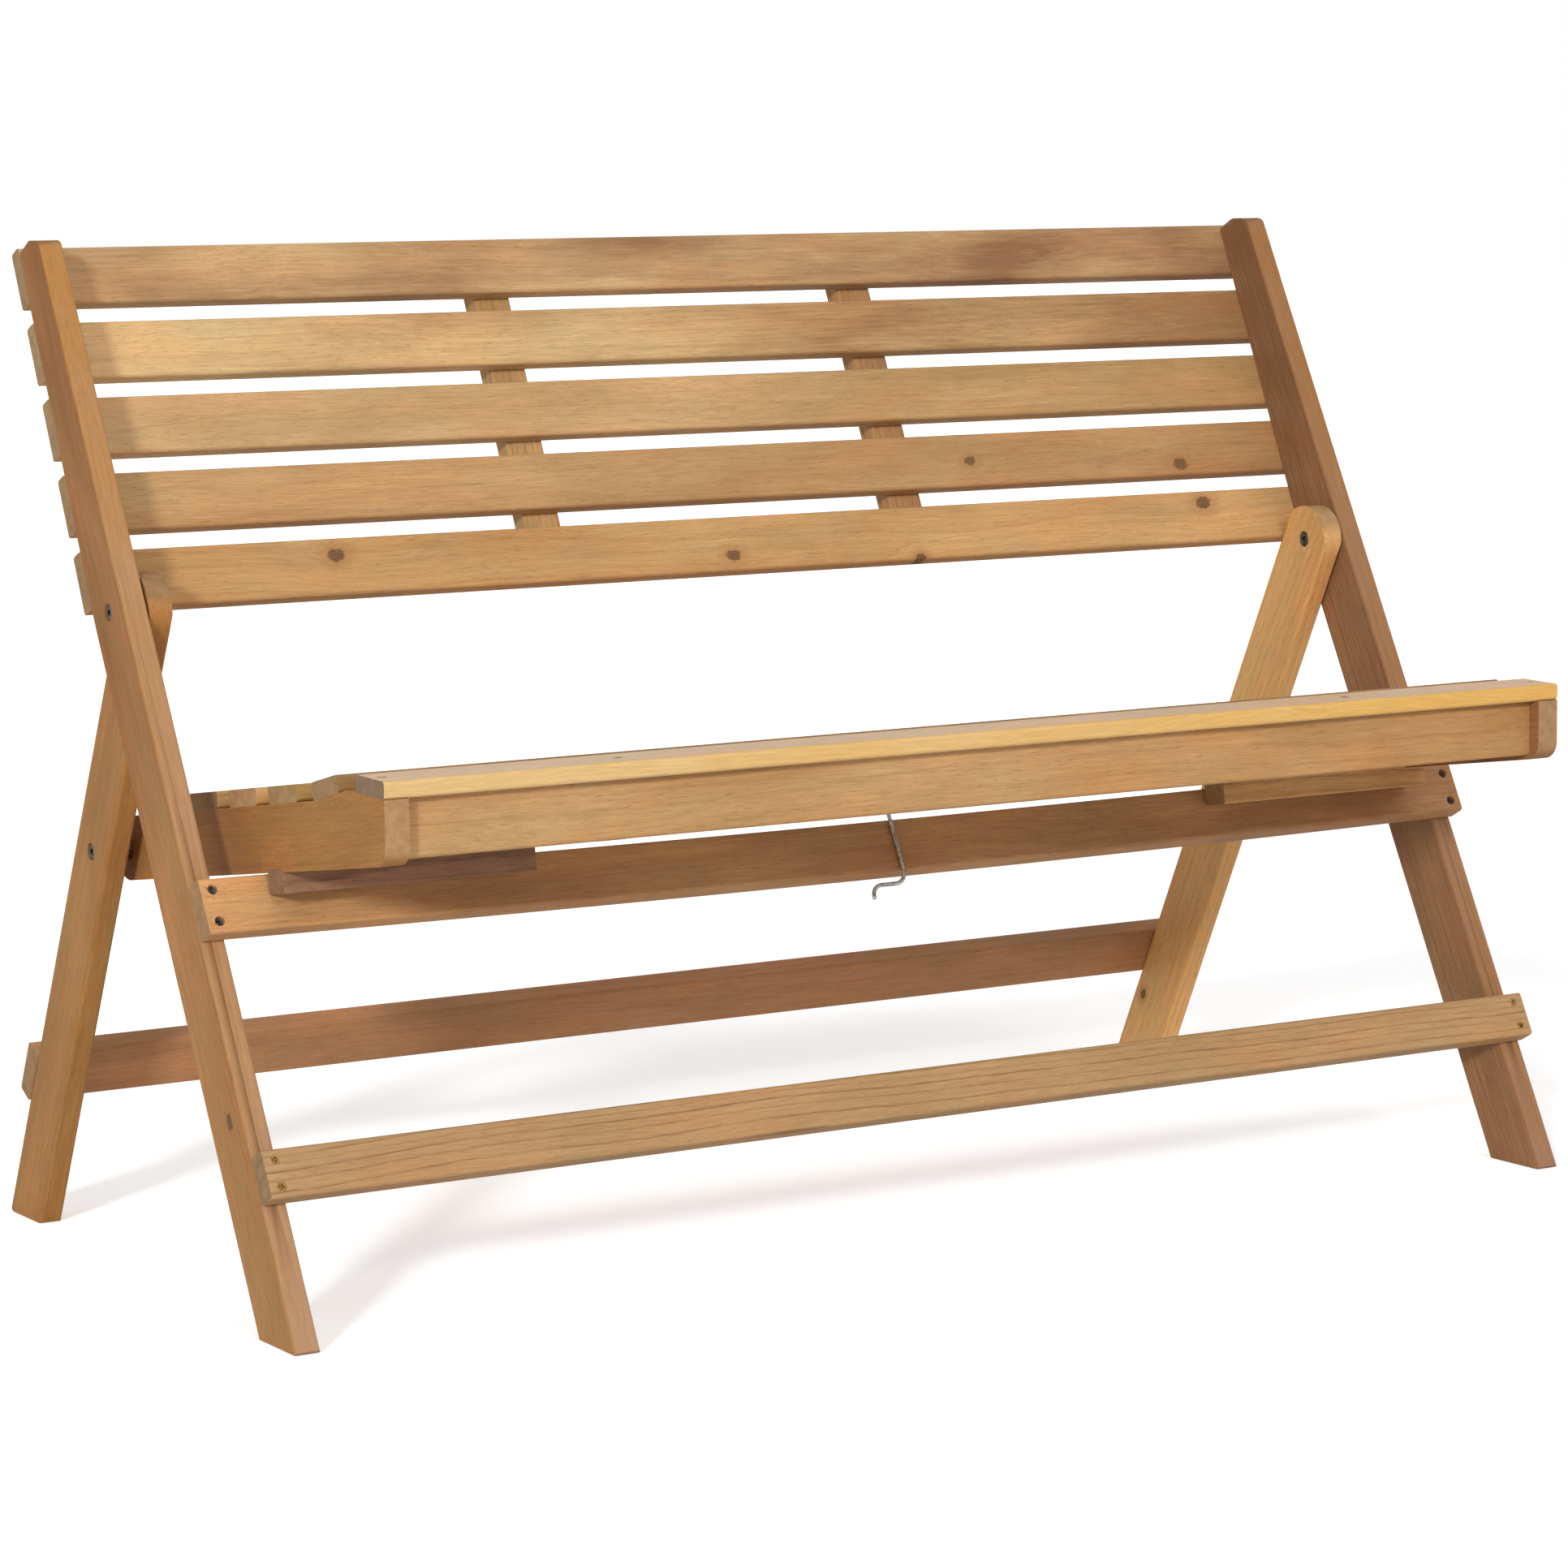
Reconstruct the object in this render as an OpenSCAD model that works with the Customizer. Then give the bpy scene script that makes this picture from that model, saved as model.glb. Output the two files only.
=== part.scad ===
/* [Bench] */
// Width of the bench over the two long posts
bench_w = 1200; // [900:10:1500]

/* [Long posts] */
// Thickness of each long post
post_t = 20; // [16:0.5:28]
// Depth of each long post, front edge to rear edge
post_w = 61.5; // [56:0.5:72]
// Length of each long post from the floor to its rear top corner
post_len = 933.5; // [880:0.5:980]
// Lean of the posts from upright
post_lean = 27.3; // [24:0.1:29]
// Distance up the post at which its rear edge starts to taper
taper_start = 578; // [540:1:600]
// Depth of the post at its top, after the taper
post_top_w = 40.7; // [36:0.1:50]
// Radius of the crowned post tops
crown_r = 78; // [60:1:120]
// Radius of the post tops' corners, seen from the front
top_corner_r = 6; // [2:0.5:9]
// Radius worn on the long edges of posts, legs and cross pieces
edge_r = 3; // [1:0.5:5]
// Radius at the rear corner of each foot
foot_r = 5; // [2:0.5:8]

/* [Backrest] */
// Width of each back slat
back_slat_w = 49; // [40:0.5:52]
// Thickness of each back slat
back_slat_t = 15.5; // [12:0.5:20]
// Gap between back slats
back_slat_gap = 15.8; // [10:0.1:17]
// How far the top slat stands above the posts' rear corners
top_slat_rise = 2; // [0:0.5:6]
// Width of the two battens behind the back slats
batten_w = 34; // [24:1:44]
// Thickness of the battens
batten_t = 20; // [14:0.5:26]
// Distance of each batten from the middle of the bench
batten_x = 179; // [100:0.5:260]
// How far the battens stop short of the outer edges of the slats
batten_inset = 12; // [2:0.5:20]

/* [Front cross pieces] */
// Width of the crossbar that carries the seat
crossbar_w = 44.5; // [36:0.5:52]
// Thickness of the crossbar
crossbar_t = 20; // [16:0.5:26]
// Width of the lower front stretcher
stretcher_w = 38.5; // [30:0.5:50]
// Thickness of the lower front stretcher
stretcher_t = 20; // [16:0.5:26]
// Distance up the post of the lower stretcher's lower edge
stretcher_rise = 116.5; // [80:0.5:160]

/* [Rear legs] */
// Thickness of each rear leg
leg_t = 19.5; // [16:0.5:24]
// Depth of each rear leg
leg_w = 59.5; // [50:0.5:63]
// Lean of the rear legs from upright
leg_lean = 27.8; // [24:0.1:30]
// Width of the rear stretcher
rear_stretcher_w = 48; // [36:0.5:70]
// Thickness of the rear stretcher
rear_stretcher_t = 20; // [16:0.5:26]
// Distance up the legs of the rear stretcher's lower edge
rear_stretcher_rise = 100; // [80:1:140]

/* [Seat] */
// Rise of the seat towards the front
seat_tilt = 7.6; // [4:0.1:10]
// Distance between the frame pivot and the seat pivot, along the leg
seat_pivot_drop = 227; // [220:1:236]
// Height of the seat rails where they are level
rail_h = 52; // [48:0.5:56]
// Thickness of the seat rails
rail_t = 20; // [16:0.5:26]
// Space between rear leg and side rail, filled by the spacer
rail_side_gap = 13.2; // [8:0.1:20]
// Radius at the lower front corner of the side rails
rail_nose_r = 16; // [8:1:22]
// Length of the rise to the crest
rise_run = 62; // [56:0.5:72]
// Length of the fall from the crest to the rail's front
fall_run = 54.5; // [50:0.5:64]
// Height of the crest above the level top
crest_rise = 5.7; // [3:0.1:9]
// Drop of the rail's front end below the level top
front_drop = 4; // [1:0.5:8]
// Distance between each middle rail's centre and the bench's middle
mid_rail_x = 340; // [260:5:420]
// Width of the level seat slats
seat_slat_w = 51; // [44:0.5:54]
// Gap between the level seat slats
seat_slat_gap = 22.5; // [16:0.5:24]
// Width of the two slats on the crest
crest_slat_w = 46.5; // [40:0.5:48]
// Thickness of the seat slats
seat_slat_t = 13.5; // [12:0.5:16]
// Distance from the first level slat to the start of the rise
level_setback = 25.5; // [20:0.5:30]
// Distance from the front of the slat that carries the latch back to its eye
eye_setback = 12; // [8:0.5:40]
// Setback of the apron behind the front of the side rails
apron_setback = 12; // [6:0.5:20]
// Thickness of the apron
apron_t = 20; // [14:0.5:24]
// Height of the apron's lower edge above that of the rails
apron_lift = 4; // [1:0.5:12]

/* [Cleats under the seat] */
// Depth of each cleat, front to rear
cleat_w = 27; // [20:0.5:34]
// Height of each cleat
cleat_h = 20; // [14:0.5:26]
// How far the cleats are let into the side rails; the middle rails lie on them
cleat_housing = 3.5; // [1:0.5:6]

/* [Latch] */
// Diameter of the hook's wire
hook_wire_d = 3.5; // [2.5:0.1:4.5]
// Distance of the hook from the middle of the bench
hook_x = 14.5; // [-60:0.5:60]
// Length of the hook's shank, pivot to the start of its bend
hook_len = 96; // [80:1:110]
// Radius of the hook's bend
hook_bend_r = 11; // [8:0.5:14]
// Radius of the ring that closes the hook's upper end
hook_ring_r = 5; // [4.5:0.1:7]
// Diameter of the screw eye's wire
eye_wire_d = 3; // [2:0.1:4]

/* [Pivots and screws] */
// Diameter of the pivot bolts
bolt_d = 8; // [6:0.5:10]
// Diameter of the bolt heads and the nuts
bolt_head_d = 12.5; // [11.5:0.5:15]
// Thickness of the bolt heads and the nuts
bolt_head_t = 3.5; // [2.5:0.5:4.5]
// Diameter of the washers and spacers
washer_d = 18; // [15:0.5:24]
// Thickness of the washers at the frame pivots
washer_t = 1.6; // [1:0.1:3]
// Diameter of the screw heads
screw_head_d = 8; // [6.5:0.5:9]
// Diameter of the screw shanks
screw_d = 4; // [3:0.5:5]

/* [Hidden] */
$fn = 48;
run_gap = 0.3;      // space left between pieces that move past each other
bore_fit = 0.05;    // radial running fit of a bolt in the piece that turns on it
seat_rest_gap = 0.4; // space between the seat rails and the crossbar's top edge
recess_gap = 0.75;  // radial space round a bolt head in its recess
head_sink = 0.8;    // how far bolt heads lie below the surface
screw_edge = 9.5;   // distance of end screws from a cross piece's long edges
crossbar_sink = 3;  // depth of the crossbar's screws below its face
screw_len = 32;     // length of the screws through cross pieces
slat_screw_len = 28; // length of the screws through slats
cleat_clear = 1.5;  // space between cleat and crossbar
crest_r = 24;       // radius on the crest of the seat rails
crest_setback = 2.5; // distance from the start of the rise to the second slat
hook_clear = 0.6;   // space between the hook's wire and the crossbar
flick_r = 10;       // radius of the hook's outward tip
flick_len = 13.5;   // straight part between the hook's bend and its tip
eye_r = 4.5;        // radius of the screw eye, to the middle of its wire
eye_shank = 9;      // how far the screw eye goes into its slat
back_slats = 5;
crest_slats = 2;
seat_slats = 6;

sa = sin(post_lean);
ca = cos(post_lean);
sb = sin(leg_lean);
cb = cos(leg_lean);
st = sin(seat_tilt);
ct = cos(seat_tilt);
lean_off = post_lean - seat_tilt; // angle between the posts and the seat's upright

// Places across the bench, measured from its middle
post_x = bench_w / 2;                       // outer face of the posts
leg_x = post_x - post_t - washer_t - run_gap; // outer face of the rear legs
rail_x = leg_x - leg_t - rail_side_gap;     // outer face of the side rails

// The line of the taper, up which the backrest is set out
taper_angle = atan((post_w - post_top_w) / (post_len - taper_start));
taper_len = (post_len - taper_start) / cos(taper_angle);
back_pitch = back_slat_w + back_slat_gap;
function back_slat_base(i) = taper_len + top_slat_rise - back_slat_w - (i - 1) * back_pitch;

// The open rear legs stop just short of the lowest slat's rounded front corner,
// whose middle is given as [depth, rise] on the post
stop_rise = back_slat_base(back_slats) + edge_r;
stop_corner = [post_w, taper_start] + stop_rise * [-sin(taper_angle), cos(taper_angle)]
    + edge_r * [cos(taper_angle), sin(taper_angle)];
open_angle = post_lean + leg_lean; // angle between posts and rear legs
stop_reach = leg_w / 2 + run_gap + edge_r;
frame_pivot_depth = leg_w / 2;
frame_pivot_rise = stop_corner[1]
    - (stop_reach - (stop_corner[0] - frame_pivot_depth) * cos(open_angle)) / sin(open_angle);

// Side view, as [y, z] with y = 0 at the front of the posts' feet
frame_pivot = frame_pivot_rise * [sa, ca] + frame_pivot_depth * [ca, -sa];
seat_pivot = frame_pivot + seat_pivot_drop * [sb, -cb];
leg_axis_len = frame_pivot[1] / cb;

// Side view of the seat, as [q, h]: q runs forward from the seat pivot along
// the rail's lower edge, and h rises square to it
front_h = rail_h - front_drop;
crest_h = rail_h + crest_rise;
// The crossbar's rounded front corner lies just under the rails
corner_gap = edge_r + seat_rest_gap + rail_h / 2;
crossbar_top = edge_r + (seat_pivot * [st, ct] - corner_gap - (crossbar_t - edge_r) * sin(lean_off)) / cos(lean_off);
crossbar_base = crossbar_top - crossbar_w;

// The cleats lie just in front of the crossbar
cleat_drop = cleat_h - cleat_housing;
cleat_q = (crossbar_t + cleat_clear - seat_pivot * [-ca, sa] + (cleat_drop + rail_h / 2) * sin(lean_off)) / cos(lean_off);

// The hook hangs from its eye in front of the crossbar
hook_off = crossbar_t + hook_clear + hook_wire_d / 2;
eye_play = eye_r - eye_wire_d / 2 - hook_wire_d / 2 - run_gap;
eye_h = rail_h - eye_r - eye_wire_d / 2;
hook_rise = (seat_pivot * [st, ct] + eye_h - eye_play - rail_h / 2 - hook_off * sin(lean_off)) / cos(lean_off);
hook_pivot = hook_rise * [sa, ca] + hook_off * [-ca, sa];

// The level slats are set out from the one that carries the latch, and the
// rise, the crest and the front end of the rails follow them
first_level = crest_slats + 1;
eye_slat = first_level + 1;
latch_q = (hook_pivot - seat_pivot) * [-ct, st];
slat_pitch = seat_slat_w + seat_slat_gap;
function level_slat_front(i) = latch_q + eye_setback + (eye_slat - i) * slat_pitch;
function slat_width(i) = i < first_level ? crest_slat_w : seat_slat_w;
rear_slat_q = level_slat_front(seat_slats) - seat_slat_w;
rise_q = level_slat_front(first_level) + level_setback;
crest_q = rise_q + rise_run;
rail_len = crest_q + fall_run;
front_q = rail_len + front_h * tan(seat_tilt);
rise_angle = atan(crest_rise / rise_run);
fall_angle = atan((crest_h - front_h) / (front_q - crest_q));
function fall_at(q) = crest_h - (q - crest_q) * tan(fall_angle);

// Middle of the bench, from the front slat's foremost edge to the rear feet
nose_lean = fall_angle - seat_tilt;
nose_reach = (seat_slat_t - edge_r) * sin(nose_lean) + edge_r * (1 - cos(nose_lean));
front_y = seat_pivot[0] - rail_len * ct - rail_h / 2 * st - nose_reach;
rear_y = frame_pivot[0] + frame_pivot[1] * sb / cb + leg_w / 2 / cb - foot_r * (sb / cb + 1 / cb - 1);
mid_y = (front_y + rear_y) / 2;

wood = "#b98a58";
dark_wood = "#96683d";
steel = "#6f6a60";
brass = "#a8854a";

// Unit vector from one point to another
function toward(a, b) = (b - a) / norm(b - a);

// Points at which a corner's circle touches its two edges
function corner_ends(p, a, b, r) =
    let (u = toward(p, a), v = toward(p, b), reach = r / tan(acos(u * v) / 2))
    r > 0 ? [p + u * reach, p + v * reach] : [p];

// Middle of a corner's circle
function corner_middle(p, a, b, r) =
    let (u = toward(p, a), v = toward(p, b))
    p + (u + v) / norm(u + v) * r / sin(acos(u * v) / 2);

// Outline whose outward corners are rounded, each by its own radius
module rounded_outline(points, radii) {
    n = len(points);
    polygon([for (i = [0 : n - 1])
        for (e = corner_ends(points[i], points[(i + n - 1) % n], points[(i + 1) % n], radii[i])) e]);
    for (i = [0 : n - 1])
        if (radii[i] > 0)
            translate(corner_middle(points[i], points[(i + n - 1) % n], points[(i + 1) % n], radii[i]))
                circle(radii[i]);
}

// Section of a board with four eased edges, from the origin
module board_section(w, t, r) {
    rounded_outline([[0, 0], [w, 0], [w, t], [0, t]], [r, r, r, r]);
}

// Side-view outline made solid across the bench, from x0 on
module across(x0, t) {
    translate([x0, 0, 0]) rotate([90, 0, 90]) linear_extrude(t) children();
}

// Board lying across the bench, its section given by y and z sizes
module cross_board(length, w, t, r) {
    across(-length / 2, length) board_section(w, t, r);
}

module both_sides() {
    children();
    mirror([1, 0, 0]) children();
}

// Post frame: y runs back from the post's front edge, z up along the post
module on_post() {
    translate([0, -mid_y, 0]) rotate([-post_lean, 0, 0]) children();
}

// Back frame: y runs back from the slats' front, z up along the taper
module on_back() {
    on_post() translate([0, post_w, taper_start]) rotate([taper_angle, 0, 0]) children();
}

// Leg frame: its origin is the frame pivot, y runs back, z up along the leg
module on_leg() {
    translate([0, frame_pivot[0] - mid_y, frame_pivot[1]]) rotate([leg_lean, 0, 0]) children();
}

// Seat frame: its origin is the seat pivot, y runs back, z square to the rail
module on_seat() {
    translate([0, seat_pivot[0] - mid_y, seat_pivot[1]]) rotate([-seat_tilt, 0, 0]) children();
}

// Outline in the seat's [q, h] made solid across the bench, from x0 on
module seat_across(x0, t) {
    on_seat() across(x0, t) translate([0, -rail_h / 2]) mirror([1, 0]) children();
}

// Frame of one seat slat: its origin is the middle of the slat's underside
module on_seat_slat(i) {
    if (i == 1)
        on_seat() translate([0, -front_q, front_h - rail_h / 2]) rotate([fall_angle, 0, 0])
            translate([0, crest_slat_w / 2, 0]) children();
    else if (i == 2)
        on_seat() translate([0, -rise_q, rail_h / 2]) rotate([-rise_angle, 0, 0])
            translate([0, -crest_setback - crest_slat_w / 2, 0]) children();
    else
        on_seat() translate([0, seat_slat_w / 2 - level_slat_front(i), rail_h / 2]) children();
}

// Countersunk wood screw pointing down, its head's face at z = 0
module wood_screw(length) {
    head = (screw_head_d - screw_d) / 2;
    translate([0, 0, -head]) cylinder(h = head, d1 = screw_d, d2 = screw_head_d);
    translate([0, 0, -length]) cylinder(h = length - head, d = screw_d);
}

// Hole for a wood screw, open above its head
module screw_hole(length, above) {
    wood_screw(length);
    cylinder(h = above, d = screw_head_d);
}

// Bolt head or nut disc with a hexagon socket, its face at z = 0
module socket_disc() {
    rim = 0.6;
    socket_d = 5.8;
    difference() {
        union() {
            translate([0, 0, -bolt_head_t]) cylinder(h = bolt_head_t - rim, d = bolt_head_d);
            translate([0, 0, -rim]) cylinder(h = rim, d1 = bolt_head_d, d2 = bolt_head_d - 2 * rim);
        }
        translate([0, 0, -bolt_head_t * 0.55]) cylinder(h = bolt_head_t, d = socket_d, $fn = 6);
    }
}

// Nut: a disc that takes the end of the bolt
module nut_disc() {
    difference() {
        socket_disc();
        translate([0, 0, -bolt_head_t]) cylinder(h = nut_grip, d = bolt_d);
    }
}

nut_grip = bolt_head_t * 0.3;             // how far the bolt's end enters its nut
recess_d = bolt_head_d + 2 * recess_gap;
recess_depth = bolt_head_t + head_sink;

// Bolt along x towards the middle of the bench, its head's face at x = 0
module bolt(length) {
    rotate([0, 90, 0]) socket_disc();
    translate([-length, 0, 0]) rotate([0, 90, 0]) cylinder(h = length - bolt_head_t, d = bolt_d);
}

// Hole along x through a piece whose outer face is at x = 0
module bolt_hole(t, fit) {
    translate([-t - 1, 0, 0]) rotate([0, 90, 0]) cylinder(h = t + 2, d = bolt_d + 2 * fit);
}

// Recess for a head or nut in a face at x = 0, cut towards -x
module head_recess() {
    translate([-recess_depth, 0, 0]) rotate([0, 90, 0]) cylinder(h = recess_depth + 1, d = recess_d);
}

// Long posts

module post_outline() {
    crown_z = post_len - crown_r;
    intersection() {
        rounded_outline([[0, 0], [post_w, post_w * tan(post_lean)], [post_w, taper_start],
            [post_w - 1.1 * (post_w - post_top_w), taper_start + 1.1 * (post_len - taper_start)],
            [0, taper_start + 1.1 * (post_len - taper_start)]], [edge_r, foot_r, 0, 0, 0]);
        union() {
            translate([post_top_w, crown_z]) circle(crown_r, $fn = 96);
            translate([-1, -1]) square([post_w + 2, crown_z + 1]);
        }
    }
}

// Right-hand post, its outer face at x = post_x
module post() {
    difference() {
        on_post() intersection() {
            across(post_x - post_t, post_t) post_outline();
            translate([post_x - post_t, 0, -1]) linear_extrude(post_len + 2) board_section(post_t, post_w, edge_r);
            translate([post_x - post_t, post_w + 1, 0]) rotate([90, 0, 0]) linear_extrude(post_w + 2)
                rounded_outline([[0, -1], [post_t, -1], [post_t, post_len], [0, post_len]],
                    [0, 0, top_corner_r, top_corner_r]);
        }
        frame_pivot_place() bolt_hole(post_t, 0);
        frame_pivot_place() head_recess();
        crossbar_end_screws() wood_screw(screw_len);
        stretcher_end_screws() wood_screw(screw_len);
        back_end_screws() wood_screw(screw_len);
    }
}

module frame_pivot_place() {
    on_leg() translate([post_x, 0, 0]) children();
}

module seat_pivot_place() {
    on_leg() translate([leg_x, 0, -seat_pivot_drop]) children();
}

// Backrest

module back_slat(i) {
    difference() {
        on_back() translate([0, 0, back_slat_base(i)]) cross_board(bench_w, back_slat_t, back_slat_w, edge_r);
        both_sides() back_end_screws() screw_hole(screw_len, 1);
        both_sides() batten_screw_places() wood_screw(screw_len);
    }
}

// Right-hand screws through the slats into the post
module back_end_screws() {
    for (i = [1 : back_slats])
        for (z = [screw_edge, back_slat_w - screw_edge])
            on_back() translate([post_x - post_t / 2, back_slat_t, back_slat_base(i) + z])
                rotate([-90, 0, 0]) children();
}

// Right-hand screws through the batten into the slats
module batten_screw_places() {
    for (i = [1 : back_slats])
        on_back() translate([batten_x, back_slat_t + batten_t, back_slat_base(i) + back_slat_w / 2])
            rotate([-90, 0, 0]) children();
}

module back_batten() {
    base = back_slat_base(back_slats) + batten_inset;
    difference() {
        on_back() translate([batten_x - batten_w / 2, back_slat_t, base])
            linear_extrude(taper_len - batten_inset - base) board_section(batten_w, batten_t, edge_r);
        batten_screw_places() screw_hole(screw_len, 1);
    }
}

// Front cross pieces

// Right-hand screws through the crossbar into the post
module crossbar_end_screws() {
    for (z = [screw_edge, crossbar_w - screw_edge])
        on_post() translate([post_x - post_t / 2, crossbar_sink - crossbar_t, crossbar_base + z])
            rotate([90, 0, 0]) children();
}

// Right-hand screws through the lower stretcher into the post
module stretcher_end_screws() {
    for (z = [screw_edge - 1, stretcher_w - screw_edge + 1])
        on_post() translate([post_x - post_t / 2, -stretcher_t, stretcher_rise + z])
            rotate([90, 0, 0]) children();
}

// Rear frame

function leg_foot(y) = -(frame_pivot[1] + y * sb) / cb;

// Right-hand leg, its outer face at x = leg_x
module rear_leg() {
    half = leg_w / 2;
    difference() {
        on_leg() intersection() {
            across(leg_x - leg_t, leg_t) {
                rounded_outline([[-half, 0], [-half, leg_foot(-half)], [half, leg_foot(half)], [half, 0]],
                    [0, edge_r, foot_r, 0]);
                circle(half);
            }
            translate([leg_x - leg_t, -half, -leg_axis_len - leg_w])
                linear_extrude(leg_axis_len + 2 * leg_w) board_section(leg_t, leg_w, edge_r);
        }
        on_leg() translate([leg_x, 0, 0]) bolt_hole(leg_t, bore_fit);
        on_leg() translate([leg_x - leg_t, 0, 0]) mirror([1, 0, 0]) head_recess();
        seat_pivot_place() bolt_hole(leg_t, 0);
        seat_pivot_place() head_recess();
        rear_end_screws() wood_screw(screw_len);
    }
}

rear_stretcher_base = rear_stretcher_rise - leg_axis_len;

// Right-hand screws through the rear stretcher into the leg
module rear_end_screws() {
    for (z = [screw_edge, rear_stretcher_w - screw_edge])
        on_leg() translate([leg_x - leg_t / 2, leg_w / 2 + rear_stretcher_t, rear_stretcher_base + z])
            rotate([-90, 0, 0]) children();
}

// Seat

// The rail's upper edge, from its front end back to where it is level
upper_edge = [[front_q, front_h], [crest_q, crest_h], [rise_q, rail_h]];

module side_rail_outline() {
    rounded_outline(concat([[0, 0], [rail_len, 0]], upper_edge, [[0, rail_h]]),
        [0, rail_nose_r, 0, crest_r, 0, 0]);
    translate([0, rail_h / 2]) circle(rail_h / 2);
}

module mid_rail_outline() {
    stop_q = rail_len - apron_setback - apron_t / ct;
    low = cleat_housing;
    rounded_outline([[rear_slat_q, low], apron_corner(stop_q, low), apron_top(stop_q),
        [crest_q, crest_h], [rise_q, rail_h], [rear_slat_q, rail_h]],
        [rail_nose_r, 0, 0, crest_r, 0, 0]);
}

// Housing for a cleat in a side rail's underside
module cleat_housing_outline() {
    translate([cleat_q, -1]) square([cleat_w, cleat_housing + 1]);
}

// Right-hand side rail, its outer face at x = rail_x
module side_rail() {
    difference() {
        seat_across(rail_x - rail_t, rail_t) difference() {
            side_rail_outline();
            cleat_housing_outline();
        }
        on_seat() translate([rail_x, 0, 0]) bolt_hole(rail_t, bore_fit);
        on_seat() translate([rail_x - rail_t, 0, 0]) mirror([1, 0, 0]) head_recess();
        slat_screw_places(rail_x - rail_t / 2) wood_screw(slat_screw_len);
        cleat_screw_places() wood_screw(screw_len);
    }
}

// Right-hand middle rail
module mid_rail() {
    difference() {
        seat_across(mid_rail_x - rail_t / 2, rail_t) mid_rail_outline();
        slat_screw_places(mid_rail_x) wood_screw(slat_screw_len);
        cleat_screw_places() wood_screw(screw_len);
    }
}

module apron() {
    near = rail_len - apron_setback;
    far = near - apron_t / ct;
    low = apron_lift;
    difference() {
        seat_across(-rail_x + rail_t, 2 * (rail_x - rail_t))
            rounded_outline([apron_corner(far, low), apron_corner(near, low), apron_top(near), apron_top(far)],
                [edge_r, edge_r, 0, 0]);
        both_sides() slat_screw_places(mid_rail_x) wood_screw(slat_screw_len);
    }
}

// Points on an upright line through q at the rail's lower edge
function apron_corner(q, h) = [q + h * tan(seat_tilt), h];
function apron_top(q) = apron_corner(q, fall_at(q) / (1 + tan(seat_tilt) * tan(fall_angle)));

// Screws through every slat at distance x from the bench's middle
module slat_screw_places(x) {
    for (i = [1 : seat_slats])
        on_seat_slat(i) translate([x, 0, seat_slat_t]) children();
}

module seat_slat(i) {
    w = slat_width(i);
    difference() {
        on_seat_slat(i) translate([0, -w / 2, 0]) cross_board(2 * rail_x, w, seat_slat_t, edge_r);
        for (x = [rail_x - rail_t / 2, mid_rail_x])
            both_sides() on_seat_slat(i) translate([x, 0, seat_slat_t]) screw_hole(slat_screw_len, 1);
        if (i == eye_slat) eye_place() eye_screw();
    }
}

cleat_end = mid_rail_x - rail_t / 2;

module cleat() {
    difference() {
        on_seat() translate([0, -cleat_q - cleat_w, -rail_h / 2 - cleat_drop])
            across(cleat_end, rail_x - cleat_end) board_section(cleat_w, cleat_h, edge_r / 2);
        cleat_screw_places() screw_hole(screw_len, 1);
    }
}

// Right-hand screws up through the cleat into its two rails
module cleat_screw_places() {
    for (x = [rail_x - rail_t / 2, mid_rail_x])
        on_seat() translate([x, -cleat_q - cleat_w / 2, -rail_h / 2 - cleat_drop])
            rotate([180, 0, 0]) children();
}

// Latch

// The eye's middle, just above the hook's pivot
module eye_place() {
    translate([hook_x, hook_pivot[0] - mid_y, hook_pivot[1]]) rotate([-seat_tilt, 0, 0])
        translate([0, 0, eye_play]) children();
}

module eye_screw() {
    translate([0, 0, eye_r]) cylinder(h = eye_wire_d / 2 + eye_shank, d = eye_wire_d);
}

// Wire bent round z, its middle at radius r, turned through an angle
module bent_wire(r, d, turn) {
    rotate_extrude(angle = turn) translate([r, 0]) circle(d = d);
}

// Ring of wire whose axis lies across the bench
module eye() {
    eye_place() {
        rotate([0, 90, 0]) bent_wire(eye_r, eye_wire_d, 360);
        difference() {
            eye_screw();
            rotate([0, 90, 0]) bent_wire(eye_r, eye_wire_d, 360);
        }
    }
}

// Hook frame: its origin is the hook's pivot, z runs up along the shank
module on_hook() {
    translate([hook_x, hook_pivot[0] - mid_y, hook_pivot[1]]) rotate([-post_lean, 0, 0]) children();
}

module hook() {
    shank = hook_len - 2 * hook_ring_r;
    on_hook() {
        translate([0, 0, -hook_ring_r]) rotate([90, 0, 0]) bent_wire(hook_ring_r, hook_wire_d, 360);
        difference() {
            translate([0, 0, -hook_len]) cylinder(h = shank, d = hook_wire_d);
            translate([0, 0, -hook_ring_r]) rotate([90, 0, 0]) bent_wire(hook_ring_r, hook_wire_d, 360);
        }
        translate([-hook_bend_r, 0, -hook_len]) rotate([90, 0, 0]) mirror([0, 1, 0])
            bent_wire(hook_bend_r, hook_wire_d, 90);
        translate([-hook_bend_r - flick_len, 0, -hook_len - hook_bend_r]) rotate([0, 90, 0])
            cylinder(h = flick_len, d = hook_wire_d);
        translate([-hook_bend_r - flick_len, 0, -hook_len - hook_bend_r - flick_r])
            rotate([90, 0, 0]) rotate([0, 0, 90]) bent_wire(flick_r, hook_wire_d, 90);
        translate([-hook_bend_r - flick_len - flick_r, 0, -hook_len - hook_bend_r - flick_r])
            sphere(d = hook_wire_d);
    }
}

// Pieces, one module each

module post_left() { color(wood) mirror([1, 0, 0]) post(); }
module post_right() { color(wood) post(); }
module back_slat_1() { color(wood) back_slat(1); }
module back_slat_2() { color(wood) back_slat(2); }
module back_slat_3() { color(wood) back_slat(3); }
module back_slat_4() { color(wood) back_slat(4); }
module back_slat_5() { color(wood) back_slat(5); }
module back_batten_left() { color(dark_wood) mirror([1, 0, 0]) back_batten(); }
module back_batten_right() { color(dark_wood) back_batten(); }

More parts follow.
